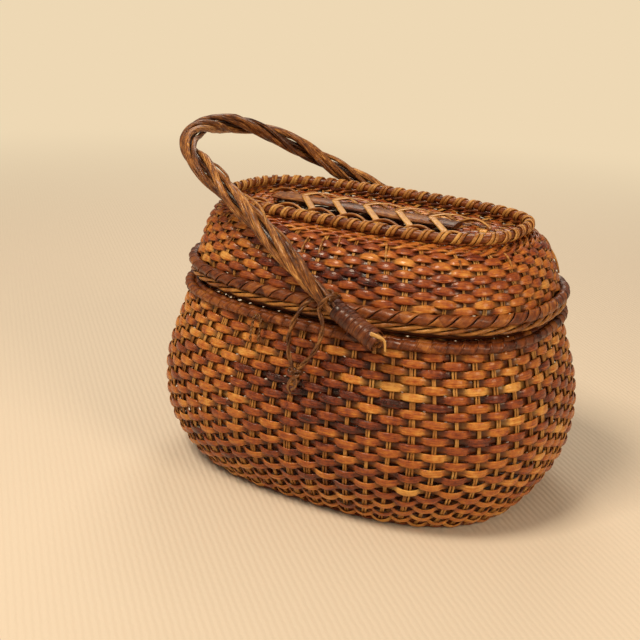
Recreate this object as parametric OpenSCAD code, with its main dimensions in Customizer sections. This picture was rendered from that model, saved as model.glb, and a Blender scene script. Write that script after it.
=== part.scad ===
// Wicker creel with a domed lid on cane loop hinges and a twisted vine bail

/* [Body] */
// Half length of the basket mouth, to the middle of the rim rod
mouth_half_len = 154; // [140:1:175]
// Half width of the basket mouth, to the middle of the rim rod
mouth_half_wid = 113.5; // [100:0.5:130]
// Squareness of the basket's oval, 2 is an ellipse
body_square = 2.7; // [2.3:0.1:3.2]
// Height of the rim rods above the table
rim_z = 151; // [135:1:170]
// How far the belly stands out past the mouth
belly_out = 18.5; // [10:0.5:25]
// Height of the widest part of the belly
belly_z = 72; // [60:1:85]
// How far the wall draws in from the belly to the table
foot_in = 29.5; // [22:0.5:36]
// Thickness of the woven wall
wall_t = 5; // [4:0.5:7]
// Radius of the two rods round the mouth
rim_rod_r = 3.4; // [2.6:0.1:4]
// Thickness of the woven bottom
base_t = 4; // [3:0.5:6]

/* [Weave] */
// Pairs of stakes round the basket
body_pairs = 30; // [22:1:36]
// Rows of weavers up the basket
body_rows = 24; // [16:1:28]
// Pairs of stakes round the lid
lid_pairs = 28; // [22:1:34]
// Rows of weavers up the lid
lid_rows = 9; // [6:1:11]
// How far a weaver dives where a stake crosses over it
weave_dip = 1.7; // [0.8:0.1:2]

/* [Lid] */
// How far the roll's middle stands past the rim's at the ends
roll_past = 0.8; // [-2:0.1:4]
// How far the roll's middle stays inside the rim's at the front and back
roll_inside = 3.5; // [1:0.1:7]
// Squareness of the lid's lower edge
roll_square = 2.5; // [2.2:0.1:3]
// Radius of the wrapped roll
roll_r = 3.5; // [2.8:0.1:4.5]
// Radius of each of the two thin rods below the roll
edge_rod_r = 1.7; // [1.3:0.1:2.2]
// Radius of the hoop that the lid sits on
seat_r = 2.8; // [2.2:0.1:3.4]
// Half length of the rim on top of the lid
top_half_len = 127; // [110:1:140]
// Half width of the rim on top of the lid
top_half_wid = 65.5; // [55:0.5:80]
// Squareness of the rim on top of the lid
top_square = 3.2; // [2.6:0.1:4]
// How far the top of the lid sits off centre
top_shift = -5; // [-8:0.5:0]
// Height of the dome, from the roll to the top rim
dome_h = 52; // [40:1:65]
// Fullness of the dome's curve
dome_full = 2.6; // [2:0.1:3.2]
// Thickness of the woven lid
lid_t = 4; // [3:0.5:6]
// Radius of the rod in the top rim
top_rod_r = 3.2; // [2.6:0.1:4]
// Radius of the strand lashed round the top rim
lash_r = 0.9; // [0.7:0.05:1.1]
// Number of turns of the top rim lashing
lash_turns = 18; // [12:1:24]

/* [Lid top] */
// Thickness of the woven panel in the lid top
panel_t = 3; // [2:0.5:4]
// Half length of the slot in the panel
slot_half_len = 75; // [60:1:90]
// Half width of the slot in the panel
slot_half_wid = 19; // [15:0.5:24]
// Middle of the slot along the lid
slot_x = -14; // [-20:1:-8]
// Middle of the slot across the lid
slot_y = -4; // [-6:0.5:0]
// Width of the ridge bar
bar_w = 21; // [16:0.5:24]
// Thickness of the ridge bar
bar_t = 5; // [3:0.5:7]
// Length by which the ridge bar laps the panel at each end
bar_lap = 9; // [5:0.5:14]
// Distance of the ridge bar from the middle of the slot
bar_shift = 7; // [4:0.5:8]
// Distance from one tie to the next
tie_step = 29.5; // [24:0.5:32]
// Width of a tie strip
tie_w = 5.5; // [3.5:0.5:7]
// Thickness of a tie strip
tie_t = 1.2; // [0.8:0.1:2]
// Depth of a scallop of the stake ends
scallop_d = 11; // [7:0.5:14]
// Thickness of the scallops
scallop_t = 1.8; // [1:0.1:2.5]

/* [Hinges] */
// Distance of each hinge from the middle
hinge_x = 55; // [50:1:65]
// Radius of the cane hinge rods
pin_r = 2; // [1.6:0.1:2.4]
// Wall of the cane loops round a hinge rod
eye_wall = 1.9; // [1.5:0.1:2.5]
// Width of the lid's loop
lid_eye_w = 8; // [6:0.5:10]
// Width of each body loop
body_eye_w = 6; // [5:0.5:8]
// Thickness of the tails of the loops
strap_t = 1.8; // [1.4:0.1:2.4]
// Length of the tail that runs down the body wall
body_strap_h = 20; // [14:1:30]

/* [Handle] */
// Place of the handle's pivots along the lid
bail_x = 26; // [18:1:30]
// Height of the pivots above the middle of the roll
bail_up = 7; // [6.5:0.5:10]
// Reach of the handle from its pivots
bail_reach = 203; // [190:1:225]
// Lean of the handle from upright
bail_lean = 62; // [55:1:66]
// Radius of one thick vine
vine_r = 2.9; // [2.3:0.1:3.1]
// Turns of twist along the handle
vine_twist = 2.25; // [1:0.25:4]
// Radius of the thin vine laid round the handle
thin_r = 1.2; // [0.8:0.1:1.5]
// Radius of the core under the end binding
core_r = 6.4; // [6:0.1:7.5]
// Length of the bound end below the pivot
tail_len = 52; // [40:1:56]
// Radius of the binding strand
bind_r = 1.8; // [1.3:0.1:2]
// Number of turns in the binding
bind_turns = 9; // [6:1:11]
// Radius of the pivot pegs
peg_r = 2.5; // [2:0.1:3]
// Radius of the tie loop's strand
tie_loop_r = 1.1; // [0.8:0.1:1.3]

/* [Hidden] */

// fits
gap = 0.3;
pin_gap = 0.2;
leg_gap = 3;
body_stakes = 2 * body_pairs;
lid_stakes = 2 * lid_pairs;
rod_seg = 44;

// the lid's lower edge follows the mouth that it closes
roll_half_len = mouth_half_len + roll_past;
roll_half_wid = mouth_half_wid - roll_inside;

// heights that follow from one another
rod_in = 2 * rim_rod_r + 0.4;
wall_top = rim_z - rim_rod_r - gap;
seat_z = rim_z + rim_rod_r + gap + seat_r;
lid_low = seat_z + seat_r + gap;
edge_z1 = lid_low + edge_rod_r - 1;
edge_z2 = edge_z1 + 2 * edge_rod_r + gap;
roll_z = edge_z2 + edge_rod_r + gap + roll_r;
top_z = roll_z + dome_h;
lash_coil = top_rod_r + gap + lash_r;
dome_top = top_z - lash_coil - lash_r - gap;
dome_low = roll_z + roll_r + 0.5;
wall_half_len = roll_half_len - roll_r - gap;
wall_half_wid = roll_half_wid - roll_r - gap;
dome_swell = 0.6;
panel_top = dome_top - 1.5;
bar_z = panel_top + gap;
tie_z = bar_z + bar_t + gap;

// superellipse
function sg(v) = v < 0 ? -1 : 1;
function se(a, b, n, t) = [
    a * sg(cos(t)) * pow(abs(cos(t)), 2 / n),
    b * sg(sin(t)) * pow(abs(sin(t)), 2 / n)
];
function oval(a, b, n, z, cx, seg) = [
    for (i = [0 : seg - 1]) let (p = se(a, b, n, 360 * i / seg)) [cx + p[0], p[1], z]
];
function half_wid_at(a, b, n, x) = b * pow(1 - pow(abs(x) / a, n), 1 / n);

// the same kind of oval at equal steps of its length, so that each stake has its place
function polar(a, b, n, t) = let (r = pow(pow(abs(cos(t)) / a, n) + pow(abs(sin(t)) / b, n), -1 / n)) [r * cos(t), r * sin(t)];
function laps(a, b, n) = [
    for (t = 0, s = 0; t <= 360; s = s + norm(polar(a, b, n, t + 3) - polar(a, b, n, t)), t = t + 3) [s, t]
];
function even_oval(a, b, n, z, cx, seg) = let (l = laps(a, b, n), whole = l[len(l) - 1][0]) [
    for (i = [0 : seg - 1]) let (p = polar(a, b, n, lookup(whole * i / seg, l))) [cx + p[0], p[1], z]
];
// a row of weaving: outer and inner points take turns, the next row the other way
function woven(outer, inner, row) = [
    for (i = [0 : len(outer) - 1]) (i + row) % 2 == 0 ? outer[i] : inner[i]
];
// keys at the middles of equal lengths of a profile, given as [key, across, up]
function middles(p, count) = let (
        l = [
            for (i = 0, s = 0; i < len(p);
                s = s + (i < len(p) - 1 ? norm([p[i + 1][1] - p[i][1], p[i + 1][2] - p[i][2]]) : 0), i = i + 1)
            [s, p[i][0]]
        ],
        whole = l[len(p) - 1][0]
    )
    [for (k = [0 : count - 1]) lookup(whole * (k + 0.5) / count, l)];

// how far the body wall stands out past the mouth at height z
function belly(z) = z > belly_z
    ? belly_out * pow(sin(90 * min(1, max(0, (rim_z - z) / (rim_z - belly_z)))), 1.25)
    : belly_out - foot_in * pow((belly_z - z) / belly_z, 2.4);
function body_y(x, z) = half_wid_at(mouth_half_len + belly(z), mouth_half_wid + belly(z), body_square, x);

// the lid's dome: o runs from 0 at the top to 1 at the roll
function dome_a(o) = (top_half_len - top_rod_r) + o * (wall_half_len + dome_swell - top_half_len + top_rod_r);
function dome_b(o) = (top_half_wid - top_rod_r) + o * (wall_half_wid + dome_swell - top_half_wid + top_rod_r);
function dome_n(o) = top_square + o * (roll_square - top_square);
function dome_z(o) = dome_top - pow(o, dome_full) * (dome_top - dome_low);
function dome_c(o) = top_shift * (1 - o);
function dome_slope(o) = dome_full * pow(o, dome_full - 1) * (dome_top - dome_low) / (dome_b(1) - dome_b(0));

// vectors
function unit(v) = v / norm(v);
function flat(l) = [for (a = l) for (b = a) b];
function lathe_frame(t, w) = let (u = unit(w - (w * t) * t)) [u, cross(t, u)];
function tangent(p, i) = unit(p[min(len(p) - 1, i + 1)] - p[max(0, i - 1)]);
function spline_at(p, s) = let (
        n = len(p) - 1,
        k = min(n - 1, floor(s * n)),
        u = s * n - k,
        a = p[max(0, k - 1)],
        b = p[k],
        c = p[k + 1],
        d = p[min(n, k + 2)]
    )
    0.5 * (2 * b + (c - a) * u + (2 * a - 5 * b + 4 * c - d) * u * u + (3 * b - 3 * c + d - a) * u * u * u);

// a closed skin over rings that come back to the first one
module ring_skin(rings) {
    m = len(rings);
    n = len(rings[0]);
    polyhedron(
        points = flat(rings),
        faces = [
            for (i = [0 : m - 1]) for (j = [0 : n - 1]) for (h = [0, 1])
                let (i2 = (i + 1) % m, j2 = (j + 1) % n)
                h == 0 ? [i * n + j, i2 * n + j, i2 * n + j2] : [i * n + j, i2 * n + j2, i * n + j2]
        ],
        convexity = 8
    );
}

// an open tube over rings, closed by a fan at each end
module ring_tube(rings) {
    m = len(rings);
    n = len(rings[0]);
    polyhedron(
        points = flat(rings),
        faces = concat(
            [
                for (i = [0 : m - 2]) for (j = [0 : n - 1]) for (h = [0, 1])
                    let (j2 = (j + 1) % n)
                    h == 0 ? [i * n + j, (i + 1) * n + j, (i + 1) * n + j2]
                           : [i * n + j, (i + 1) * n + j2, i * n + j2]
            ],
            [for (j = [1 : n - 2]) [0, j, j + 1]],
            [for (j = [1 : n - 2]) [(m - 1) * n, (m - 1) * n + j + 1, (m - 1) * n + j]]
        ),
        convexity = 8
    );
}

// a rod bent into a level oval
module oval_rod(a, b, n, z, r, cx = 0, sides = 6, seg = rod_seg) {
    c = oval(a, b, n, z, cx, seg);
    ring_skin([
        for (i = [0 : seg - 1])
            let (t = unit(c[(i + 1) % seg] - c[(i + seg - 1) % seg]), u = [t[1], -t[0], 0])
            [for (j = [0 : sides - 1]) c[i] + r * (cos(360 * j / sides) * u - sin(360 * j / sides) * [0, 0, -1])]
    ]);
}

// rings of a strand that follows the points p, with w roughly square to it
function strand(p, r, sides, w) = [
    for (i = [0 : len(p) - 1])
        let (t = tangent(p, i), f = lathe_frame(t, w))
        [for (j = [0 : sides - 1]) p[i] + r * (cos(360 * j / sides) * f[0] + sin(360 * j / sides) * f[1])]
];

// ring of the wall at height z, inset from its outer side
function wall_ring(z, inset) =
    even_oval(mouth_half_len + belly(z) - inset, mouth_half_wid + belly(z) - inset, body_square, z, 0, body_stakes);

module body_wall() {
    heights = middles([for (k = [0 : 40]) let (z = 2 + (wall_top - 2.5) * k / 40) [z, belly(z), z]], body_rows);
    color([0.62, 0.36, 0.16])
    ring_skin(concat(
        [wall_ring(0, 0)],
        [for (j = [0 : body_rows - 1]) woven(wall_ring(heights[j], 0), wall_ring(heights[j], weave_dip), j)],
        [wall_ring(wall_top, 0)],
        [for (k = [8 : -1 : 0]) wall_ring(wall_top * k / 8, wall_t)]
    ));
}

module body_base() {
    inset = belly(0) - wall_t - gap;
    color([0.45, 0.26, 0.12])
    linear_extrude(base_t)
    polygon([
        for (p = even_oval(mouth_half_len + inset, mouth_half_wid + inset, body_square, 0, 0, body_stakes))
        [p[0], p[1]]
    ]);
}

module body_rim_outer_rod() {
    color([0.5, 0.3, 0.14])
    oval_rod(mouth_half_len, mouth_half_wid, body_square, rim_z, rim_rod_r);
}

module body_rim_inner_rod() {
    color([0.5, 0.3, 0.14])
    oval_rod(mouth_half_len - rod_in, mouth_half_wid - rod_in, body_square, rim_z, rim_rod_r);
}

// small cane loop under the rim on the front wall
eye_x = -37;
eye_r = 1;
eye_half = 3.6;
eye_drop = 17;
module body_cane_eye() {
    yo = body_y(eye_x, rim_z) + rim_rod_r + eye_r + 0.6;
    yw = body_y(eye_x, rim_z - eye_drop) + 1.2;
    p = [
        [eye_x - eye_half, -yw, rim_z - eye_drop],
        [eye_x - eye_half, -yw - eye_r, rim_z - eye_drop],
        [eye_x - eye_half, -yo - 0.8, rim_z - eye_drop + 5],
        [eye_x - eye_half, -yo - 0.6, rim_z - 4],
        [eye_x - eye_half * 0.6, -yo, rim_z + 1],
        [eye_x, -yo, rim_z + 2.5],
        [eye_x + eye_half * 0.6, -yo, rim_z + 1],
        [eye_x + eye_half, -yo - 0.6, rim_z - 4],
        [eye_x + eye_half, -yo - 0.8, rim_z - eye_drop + 5],
        [eye_x + eye_half, -yw - eye_r, rim_z - eye_drop],
        [eye_x + eye_half, -yw, rim_z - eye_drop]
    ];
    color([0.3, 0.2, 0.12])
    ring_tube(strand([for (i = [0 : 20]) spline_at(p, i / 20)], eye_r, 6, [1, 0.3, 0.1]));
}

// hinges at the back
eye_out = pin_r + pin_gap + eye_wall;
side_gap = 0.5;
body_eye_x = lid_eye_w / 2 + side_gap + body_eye_w / 2;
hinge_half = body_eye_x + body_eye_w / 2;
hinge_y = max(
    body_y(hinge_x - hinge_half, rim_z) + rim_rod_r,
    half_wid_at(roll_half_len, roll_half_wid, roll_square, hinge_x - hinge_half) + roll_r
) + gap + eye_out;
hinge_z = rim_z + rim_rod_r + eye_out - 0.4;

module eye_ring(x, w) {
    translate([x - w / 2, hinge_y, hinge_z])
    rotate([0, 90, 0])
    difference() {
        cylinder(r = eye_out, h = w, $fn = 40);
        translate([0, 0, -1])
        cylinder(r = pin_r + pin_gap, h = w + 2, $fn = 40);
    }
}

// a tail cut to the outline in y and z, w wide, round the bore of its loop
module tail(x, w, pts) {
    translate([x - w / 2, 0, 0])
    difference() {
        rotate([90, 0, 90])
        linear_extrude(w)
        polygon(pts);
        translate([-1, hinge_y, hinge_z])
        rotate([0, 90, 0])
        cylinder(r = pin_r + pin_gap + 0.4, h = w + 2, $fn = 40);
    }
}

module body_hinge_loop(x) {
    // the tail hangs clear of the wall at its inner side, where the wall stands furthest out
    xi = abs(x) - body_eye_w / 2;
    low = rim_z - body_strap_h;
    mid = rim_z - rim_rod_r - 2;
    y0 = body_y(xi, low) + gap;
    y1 = body_y(xi, mid) + gap;
    y2 = max(body_y(xi, rim_z) + rim_rod_r + gap, y1);
    y3 = hinge_y - pin_r - pin_gap - 0.5;
    union() {
        eye_ring(x, body_eye_w);
        tail(x, body_eye_w, [
            [y0, low], [y1, mid], [y2, rim_z], [y2, hinge_z + 1],
            [y3, hinge_z + 1], [y3, hinge_z - 2.5], [y2 + strap_t, rim_z], [y1 + strap_t, mid],
            [y0 + strap_t, low]
        ]);
    }
}

module body_hinge_loops() {
    color([0.55, 0.33, 0.16])
    for (s = [-1, 1]) for (e = [-1, 1]) body_hinge_loop(s * hinge_x + e * body_eye_x);
}

module hinge_rods() {
    color([0.4, 0.25, 0.12])
    for (s = [-1, 1])
        translate([s * hinge_x - hinge_half - 2, hinge_y, hinge_z])
        rotate([0, 90, 0])
        cylinder(r = pin_r, h = 2 * hinge_half + 4, $fn = 40);
}

module lid_hinge_loop(x) {
    xi = abs(x) - lid_eye_w / 2;
    y1 = half_wid_at(roll_half_len, roll_half_wid, roll_square, xi) + roll_r + gap;
    union() {
        eye_ring(x, lid_eye_w);
        tail(x, lid_eye_w, [
            [y1, edge_z1 - 1], [y1, roll_z + 5], [y1 + strap_t, roll_z + 5], [y1 + strap_t, roll_z - roll_r],
            [hinge_y, hinge_z + eye_out - 0.3], [hinge_y - 1, hinge_z + 1.5], [hinge_y - eye_out + 0.8, hinge_z + 0.8]
        ]);
    }
}

module lid_hinge_loops() {
    color([0.55, 0.33, 0.16])
    for (s = [-1, 1]) lid_hinge_loop(s * hinge_x);
}

// ring of the dome at o, inset square to its outer side
function dome_ring(o, inset) = let (q = dome_slope(o), c = sqrt(1 + q * q)) even_oval(
    dome_a(o) - inset * q / c, dome_b(o) - inset * q / c, dome_n(o), dome_z(o) - inset / c, dome_c(o), lid_stakes
);
function skirt_ring(inset) =
    even_oval(wall_half_len - 1.2 - inset, wall_half_wid - 1.2 - inset, roll_square, lid_low, 0, lid_stakes);

module lid_wall() {
    m = 7;
    weave_end = 0.3;
    rows = middles([for (k = [0 : 40]) let (o = 1 - (1 - weave_end) * k / 40) [o, dome_b(o), dome_z(o)]], lid_rows);
    color([0.6, 0.34, 0.15])
    ring_skin(concat(
        [skirt_ring(0), dome_ring(1, 0), dome_ring(rows[0], 0)],
        [for (j = [1 : lid_rows - 1]) woven(dome_ring(rows[j], 0), dome_ring(rows[j], weave_dip), j)],
        [for (j = [2 : -1 : 0]) dome_ring(weave_end * j / 3, 0)],
        [for (k = [0 : m]) dome_ring(k / m, lid_t)],
        [skirt_ring(lid_t)]
    ));
}

module lid_seat_hoop() {
    color([0.42, 0.26, 0.13])
    oval_rod(wall_half_len - 1.2 - lid_t / 2, wall_half_wid - 1.2 - lid_t / 2, roll_square, seat_z, seat_r, 0, 6);
}

module lid_edge_rod_upper() {
    color([0.72, 0.46, 0.2])
    oval_rod(roll_half_len, roll_half_wid, roll_square, edge_z2, edge_rod_r, 0, 5, 40);
}

module lid_edge_rod_lower() {
    color([0.72, 0.46, 0.2])
    oval_rod(roll_half_len, roll_half_wid, roll_square, edge_z1, edge_rod_r, 0, 5, 40);
}

module lid_flange_roll() {
    color([0.55, 0.32, 0.15])
    oval_rod(roll_half_len, roll_half_wid, roll_square, roll_z, roll_r);
}

module lid_top_rim_rod() {
    color([0.45, 0.25, 0.12])
    oval_rod(top_half_len, top_half_wid, top_square, top_z, top_rod_r, top_shift);
}

// lashing round the top rim, one strand
lash_rings = lash_turns * 24;
lash_from = 3;
lash_pts = [
    for (i = [0 : lash_rings])
        let (
            t = lash_from + (360 - 2 * lash_from) * i / lash_rings,
            p = se(top_half_len, top_half_wid, top_square, t),
            q = se(top_half_len, top_half_wid, top_square, t + 0.5),
            g = unit([q[0] - p[0], q[1] - p[1], 0]),
            u = [g[1], -g[0], 0],
            h = 360 * i / 24
        )
        [top_shift + p[0], p[1], top_z] + lash_coil * (cos(h) * u + sin(h) * [0, 0, 1])
];
function lash_end(a, b) = a + unit(a - b) * 2 * lash_r;
lash_path = concat(
    [lash_end(lash_pts[0], lash_pts[1])],
    lash_pts,
    [lash_end(lash_pts[lash_rings], lash_pts[lash_rings - 1])]
);
function ring_axis(i) = let (t = lash_from + (360 - 2 * lash_from) * i / lash_rings,
        p = se(top_half_len, top_half_wid, top_square, t),
        q = se(top_half_len, top_half_wid, top_square, t + 0.5))
    unit([q[0] - p[0], q[1] - p[1], 0]);
module lid_top_rim_lashing() {
    n = len(lash_path);
    color([0.85, 0.6, 0.32])
    ring_tube([
        for (i = [0 : n - 1])
            let (t = tangent(lash_path, i), f = lathe_frame(t, ring_axis(i - 1)))
            [for (j = [0 : 5]) lash_path[i] + lash_r * (cos(60 * j) * f[0] + sin(60 * j) * f[1])]
    ]);
}
lash_gap = min([
    for (i = [0 : 3 : lash_rings - 12]) for (j = [i + 12 : 3 : min(lash_rings, i + 40)])
    norm(lash_pts[i] - lash_pts[j])
]) - 2 * lash_r;
echo(least_gap_in_top_rim_lashing = lash_gap);

module slot_shape(grow = 0) {
    translate([slot_x, slot_y])
    polygon([
        for (i = [0 : 35])
        se(slot_half_len + grow, slot_half_wid + grow, 4, 10 * i)
    ]);
}

module lid_top_panel() {
    color([0.5, 0.28, 0.13])
    translate([0, 0, panel_top - panel_t])
    linear_extrude(panel_t)
    difference() {
        polygon([
            for (p = even_oval(dome_a(0) - gap, dome_b(0) - gap, top_square, 0, top_shift, lid_stakes))
            [p[0], p[1]]
        ]);
        slot_shape();
    }
}

// flat bar with a crowned top
module ridge_bar() {
    len_bar = 2 * (slot_half_len + bar_lap);
    crown = 1.5;
    color([0.42, 0.22, 0.1])
    translate([slot_x - len_bar / 2, slot_y + bar_shift, bar_z])
    rotate([90, 0, 90])
    linear_extrude(len_bar)
    polygon(concat(
        [[-bar_w / 2, 0], [bar_w / 2, 0], [bar_w / 2, bar_t - crown]],
        [for (i = [1 : 7]) [bar_w / 2 * cos(22.5 * i), bar_t - crown + crown * sin(22.5 * i)]],
        [[-bar_w / 2, bar_t - crown]]
    ));
}

tie_count = 5;
tie_first = slot_x - tie_step * (tie_count - 1) / 2 + 6;
module ridge_ties() {
    near = slot_y - slot_half_wid - 3;
    apex = slot_y + bar_shift + bar_w / 2 + 1;
    far = slot_y + slot_half_wid + 14;
    color([0.85, 0.6, 0.32])
    for (i = [0 : tie_count - 1])
        let (x = tie_first + i * tie_step, d = tie_step * 0.45)
        translate([0, 0, tie_z])
        linear_extrude(tie_t)
        polygon([
            [x - tie_w / 2 + d, near], [x + tie_w / 2 + d, near],
            [x + tie_w / 2 - 2, apex], [x + tie_w / 2 + d * 0.8, far],
            [x - tie_w / 2 + d * 0.8, far], [x - tie_w / 2 - 4, apex]
        ]);
}

// a row of crescents, each spanning one step between ties
module scallop_row(side) {
    // both rows bow towards +Y: the front one towards the slot, the back one away from it
    edge = slot_y + side * (slot_half_wid + 1.5) + (side < 0 ? -scallop_d : 0);
    band = 4.5;
    for (i = [0 : tie_count])
        let (x = tie_first + (i - 0.5) * tie_step + tie_step * 0.45, h = tie_step / 2 - 0.6)
        translate([0, 0, panel_top + gap])
        linear_extrude(scallop_t)
        polygon(concat(
            [for (k = [0 : 8]) let (a = 180 * k / 8) [x - h * cos(a), edge + scallop_d * sin(a) + 0.01]],
            [
                for (k = [7 : -1 : 1]) let (a = 180 * k / 8)
                [x - (h - band) * cos(a), edge + (scallop_d - band) * sin(a)]
            ]
        ));
}

module scallops_front() {
    color([0.66, 0.4, 0.18])
    scallop_row(-1);
}

module scallops_back() {
    color([0.66, 0.4, 0.18])
    scallop_row(1);
}

// handle pivots, on pegs that stand out from the lid
leg_r = vine_r * 2 + 2.3;
bail_z = roll_z + bail_up;
bail_y = half_wid_at(roll_half_len, roll_half_wid, roll_square, bail_x) + roll_r + leg_gap + leg_r;
// o at which the dome stands at height z, by its own rule
function dome_o(z) = pow(max(0, min(1, (dome_top - z) / (dome_top - dome_low))), 1 / dome_full);
peg_o = dome_o(bail_z - peg_r);
peg_root = half_wid_at(dome_a(peg_o), dome_b(peg_o), dome_n(peg_o), bail_x - peg_r) + gap;
peg_in = 2.5;

module bail_peg(side) {
    color([0.4, 0.26, 0.14])
    translate([bail_x, side * peg_root, bail_z])
    rotate([-90 * side, 0, 0])
    cylinder(r = peg_r, h = bail_y + peg_in - peg_root, $fn = 40);
}

module bail_peg_front() {
    bail_peg(-1);
}

module bail_peg_back() {
    bail_peg(1);
}

// route of the handle: across, along the lean and above it
route = [
    [-1, 0, 0], [-0.98, 0.15, 4], [-0.93, 0.3, 5], [-0.87, 0.46, 7], [-0.82, 0.61, 6],
    [-0.76, 0.75, 6], [-0.64, 0.87, 2], [-0.5, 0.95, 1], [-0.27, 1, 1], [0, 1, 0],
    [0.27, 0.93, 0], [0.47, 0.77, 0], [0.61, 0.58, 0], [0.72, 0.43, 0], [0.84, 0.28, 0],
    [0.93, 0.14, 0], [1, 0, 0]
];
lean_dir = [-sin(bail_lean), 0, cos(bail_lean)];
lean_up = [cos(bail_lean), 0, sin(bail_lean)];
bail_mid = [bail_x, 0, bail_z];
route_pts = [
    for (q = route)
    bail_mid + [0, q[0] * bail_y, 0] + q[1] * bail_reach * lean_dir + q[2] * lean_up
];
vine_rings = 34;
vine_from = 0.03;
vine_to = 0.965;
vine_coil = (vine_r + 0.2) / sin(36);
function route_at(i, n, from, to) = spline_at(route_pts, from + (to - from) * i / n);
function route_dir(i, n, from, to) = unit(route_at(i + 0.5, n, from, to) - route_at(i - 0.5, n, from, to));
function around(i, n, from, to, r, ang) =
    let (f = lathe_frame(route_dir(i, n, from, to), lean_up))
    route_at(i, n, from, to) + r * (cos(ang) * f[0] + sin(ang) * f[1]);

module vine(k) {
    p = [
        for (i = [0 : vine_rings])
        around(i, vine_rings, vine_from, vine_to, vine_coil, 72 * k + 360 * vine_twist * i / vine_rings)
    ];
    ring_tube(strand(p, vine_r, 6, lean_up));
}

module bail_vine_1() {
    color([0.42, 0.26, 0.14]) vine(0);
}

module bail_vine_2() {
    color([0.46, 0.28, 0.15]) vine(1);
}

module bail_vine_3() {
    color([0.4, 0.24, 0.13]) vine(2);
}

module bail_vine_4() {
    color([0.5, 0.3, 0.16]) vine(3);
}

module bail_vine_5() {
    color([0.44, 0.27, 0.14]) vine(4);
}

module bail_thin_vine() {
    coil = vine_coil + vine_r + 0.3 + thin_r;
    n = 26;
    p = [for (i = [0 : n]) around(i, n, 0.2, 0.5, coil, 100 + 430 * i / n)];
    color([0.62, 0.42, 0.22])
    ring_tube(strand(p, thin_r, 5, lean_up));
}

// the bound end leaves the pivot down and away from the body
tail_pitch = 22;
tail_yaw = 8.5;
tail_dir = [cos(tail_pitch) * cos(tail_yaw), -sin(tail_yaw), -sin(tail_pitch) * cos(tail_yaw)];
butt = 0.6;
back_len = 8;
neck_in = 1.1;

// a round core from p towards q, short of it by butt
module core_towards(p, q, r = core_r) {
    d = q - p;
    translate(p)
    rotate([0, acos(d[2] / norm(d)), atan2(d[1], d[0])])
    cylinder(r = r, h = norm(d) - butt, $fn = 48);
}

front_pivot = [bail_x, -bail_y, bail_z];
module bail_end_front() {
    color([0.36, 0.24, 0.14])
    difference() {
        union() {
            core_towards(front_pivot - back_len * tail_dir / 2, front_pivot + (tail_len + butt) * tail_dir);
            core_towards(front_pivot, route_at(0, vine_rings, vine_from, vine_to), core_r - neck_in);
        }
        translate([bail_x, -bail_y - peg_in - gap, bail_z])
        rotate([-90, 0, 0])
        cylinder(r = peg_r + pin_gap, h = 30, $fn = 40);
    }
}

back_pivot = [bail_x, bail_y, bail_z];
back_top = route_at(vine_rings, vine_rings, vine_from, vine_to);
module bail_end_back() {
    color([0.36, 0.24, 0.14])
    difference() {
        core_towards(back_pivot - back_len * unit(back_top - back_pivot), back_top);
        translate([bail_x, bail_y + peg_in + gap, bail_z])
        rotate([90, 0, 0])
        cylinder(r = peg_r + pin_gap, h = 30, $fn = 40);
    }
}

// binding round the bound end, one strand
bind_coil = core_r + 0.3 + bind_r;
bind_gap_set = 1;
bind_step = 2 * bind_r + bind_gap_set;
bind_rings = bind_turns * 24;
bind_first = tail_len - bind_turns * bind_step - 2.5;
function tail_frame() = lathe_frame(tail_dir, [0, 0, 1]);
function bind_at(i) = let (f = tail_frame(), a = 360 * i / 24 + 60)
    front_pivot + (bind_first + bind_step * i / 24) * tail_dir + bind_coil * (cos(a) * f[0] + sin(a) * f[1]);
bind_pts = [for (i = [0 : bind_rings]) bind_at(i)];
bind_path = concat(
    [bind_pts[0] + unit(bind_pts[0] - bind_pts[1]) * 2.2 * bind_r],
    bind_pts,
    [bind_pts[bind_rings] + unit(bind_pts[bind_rings] - bind_pts[bind_rings - 1]) * 4.5 * bind_r]
);
module bail_binding() {
    color([0.5, 0.32, 0.16])
    ring_tube(strand(bind_path, bind_r, 6, tail_dir));
}
bind_gap = min([
    for (i = [0 : bind_rings - 12]) for (j = [i + 12 : min(bind_rings, i + 36)])
    norm(bind_pts[i] - bind_pts[j])
]) - 2 * bind_r;
echo(least_gap_in_bail_binding = bind_gap);

// cane loop that goes round the handle's front leg, seen from its pivot
tie_knot_r = 3.4;
tie_hook = core_r + tie_loop_r + gap + 0.15;
knot_at = [-20, -7, -58];
tie_seat = tie_knot_r + gap;
tail_side = unit(cross(tail_dir, [0, 0, 1]));
tail_top = cross(tail_side, tail_dir);
// a point on the loop where it lies on the core, ang from the front to the top
function hook(s, ang) = s * tail_dir + tie_hook * (cos(ang) * tail_side + sin(ang) * tail_top);
end_right = unit([4, 0, 6]);
end_left = unit([-4, 0.6, 6]);
tie_route = [
    knot_at + tie_seat * end_right, knot_at + (tie_seat + 3) * end_right, [-4, -7, -36], [2, -8, -17],
    hook(0, -40), hook(1, 0), hook(2, 45), hook(2.5, 90), hook(1, 135), [-4, 8.2, 5.5],
    [-12, 8.6, -1], [-20, 4, -6],
    [-24, -1, -14], [-28, -4, -27], [-28, -5, -42],
    knot_at + (tie_seat + 3) * end_left, knot_at + tie_seat * end_left
];
module tie_loop() {
    n = 56;
    p = [for (i = [0 : n]) front_pivot + spline_at(tie_route, i / n)];
    color([0.28, 0.19, 0.12])
    ring_tube([
        for (i = [0 : n])
            let (t = tangent(p, i), f = lathe_frame(t, [0.2, 1, 0.1]))
            [for (j = [0 : 5]) p[i] + tie_loop_r * (cos(60 * j) * f[0] + sin(60 * j) * f[1])]
    ]);
}

module tie_knot() {
    color([0.28, 0.19, 0.12])
    translate(front_pivot + knot_at)
    sphere(r = tie_knot_r, $fn = 32);
}

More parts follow.
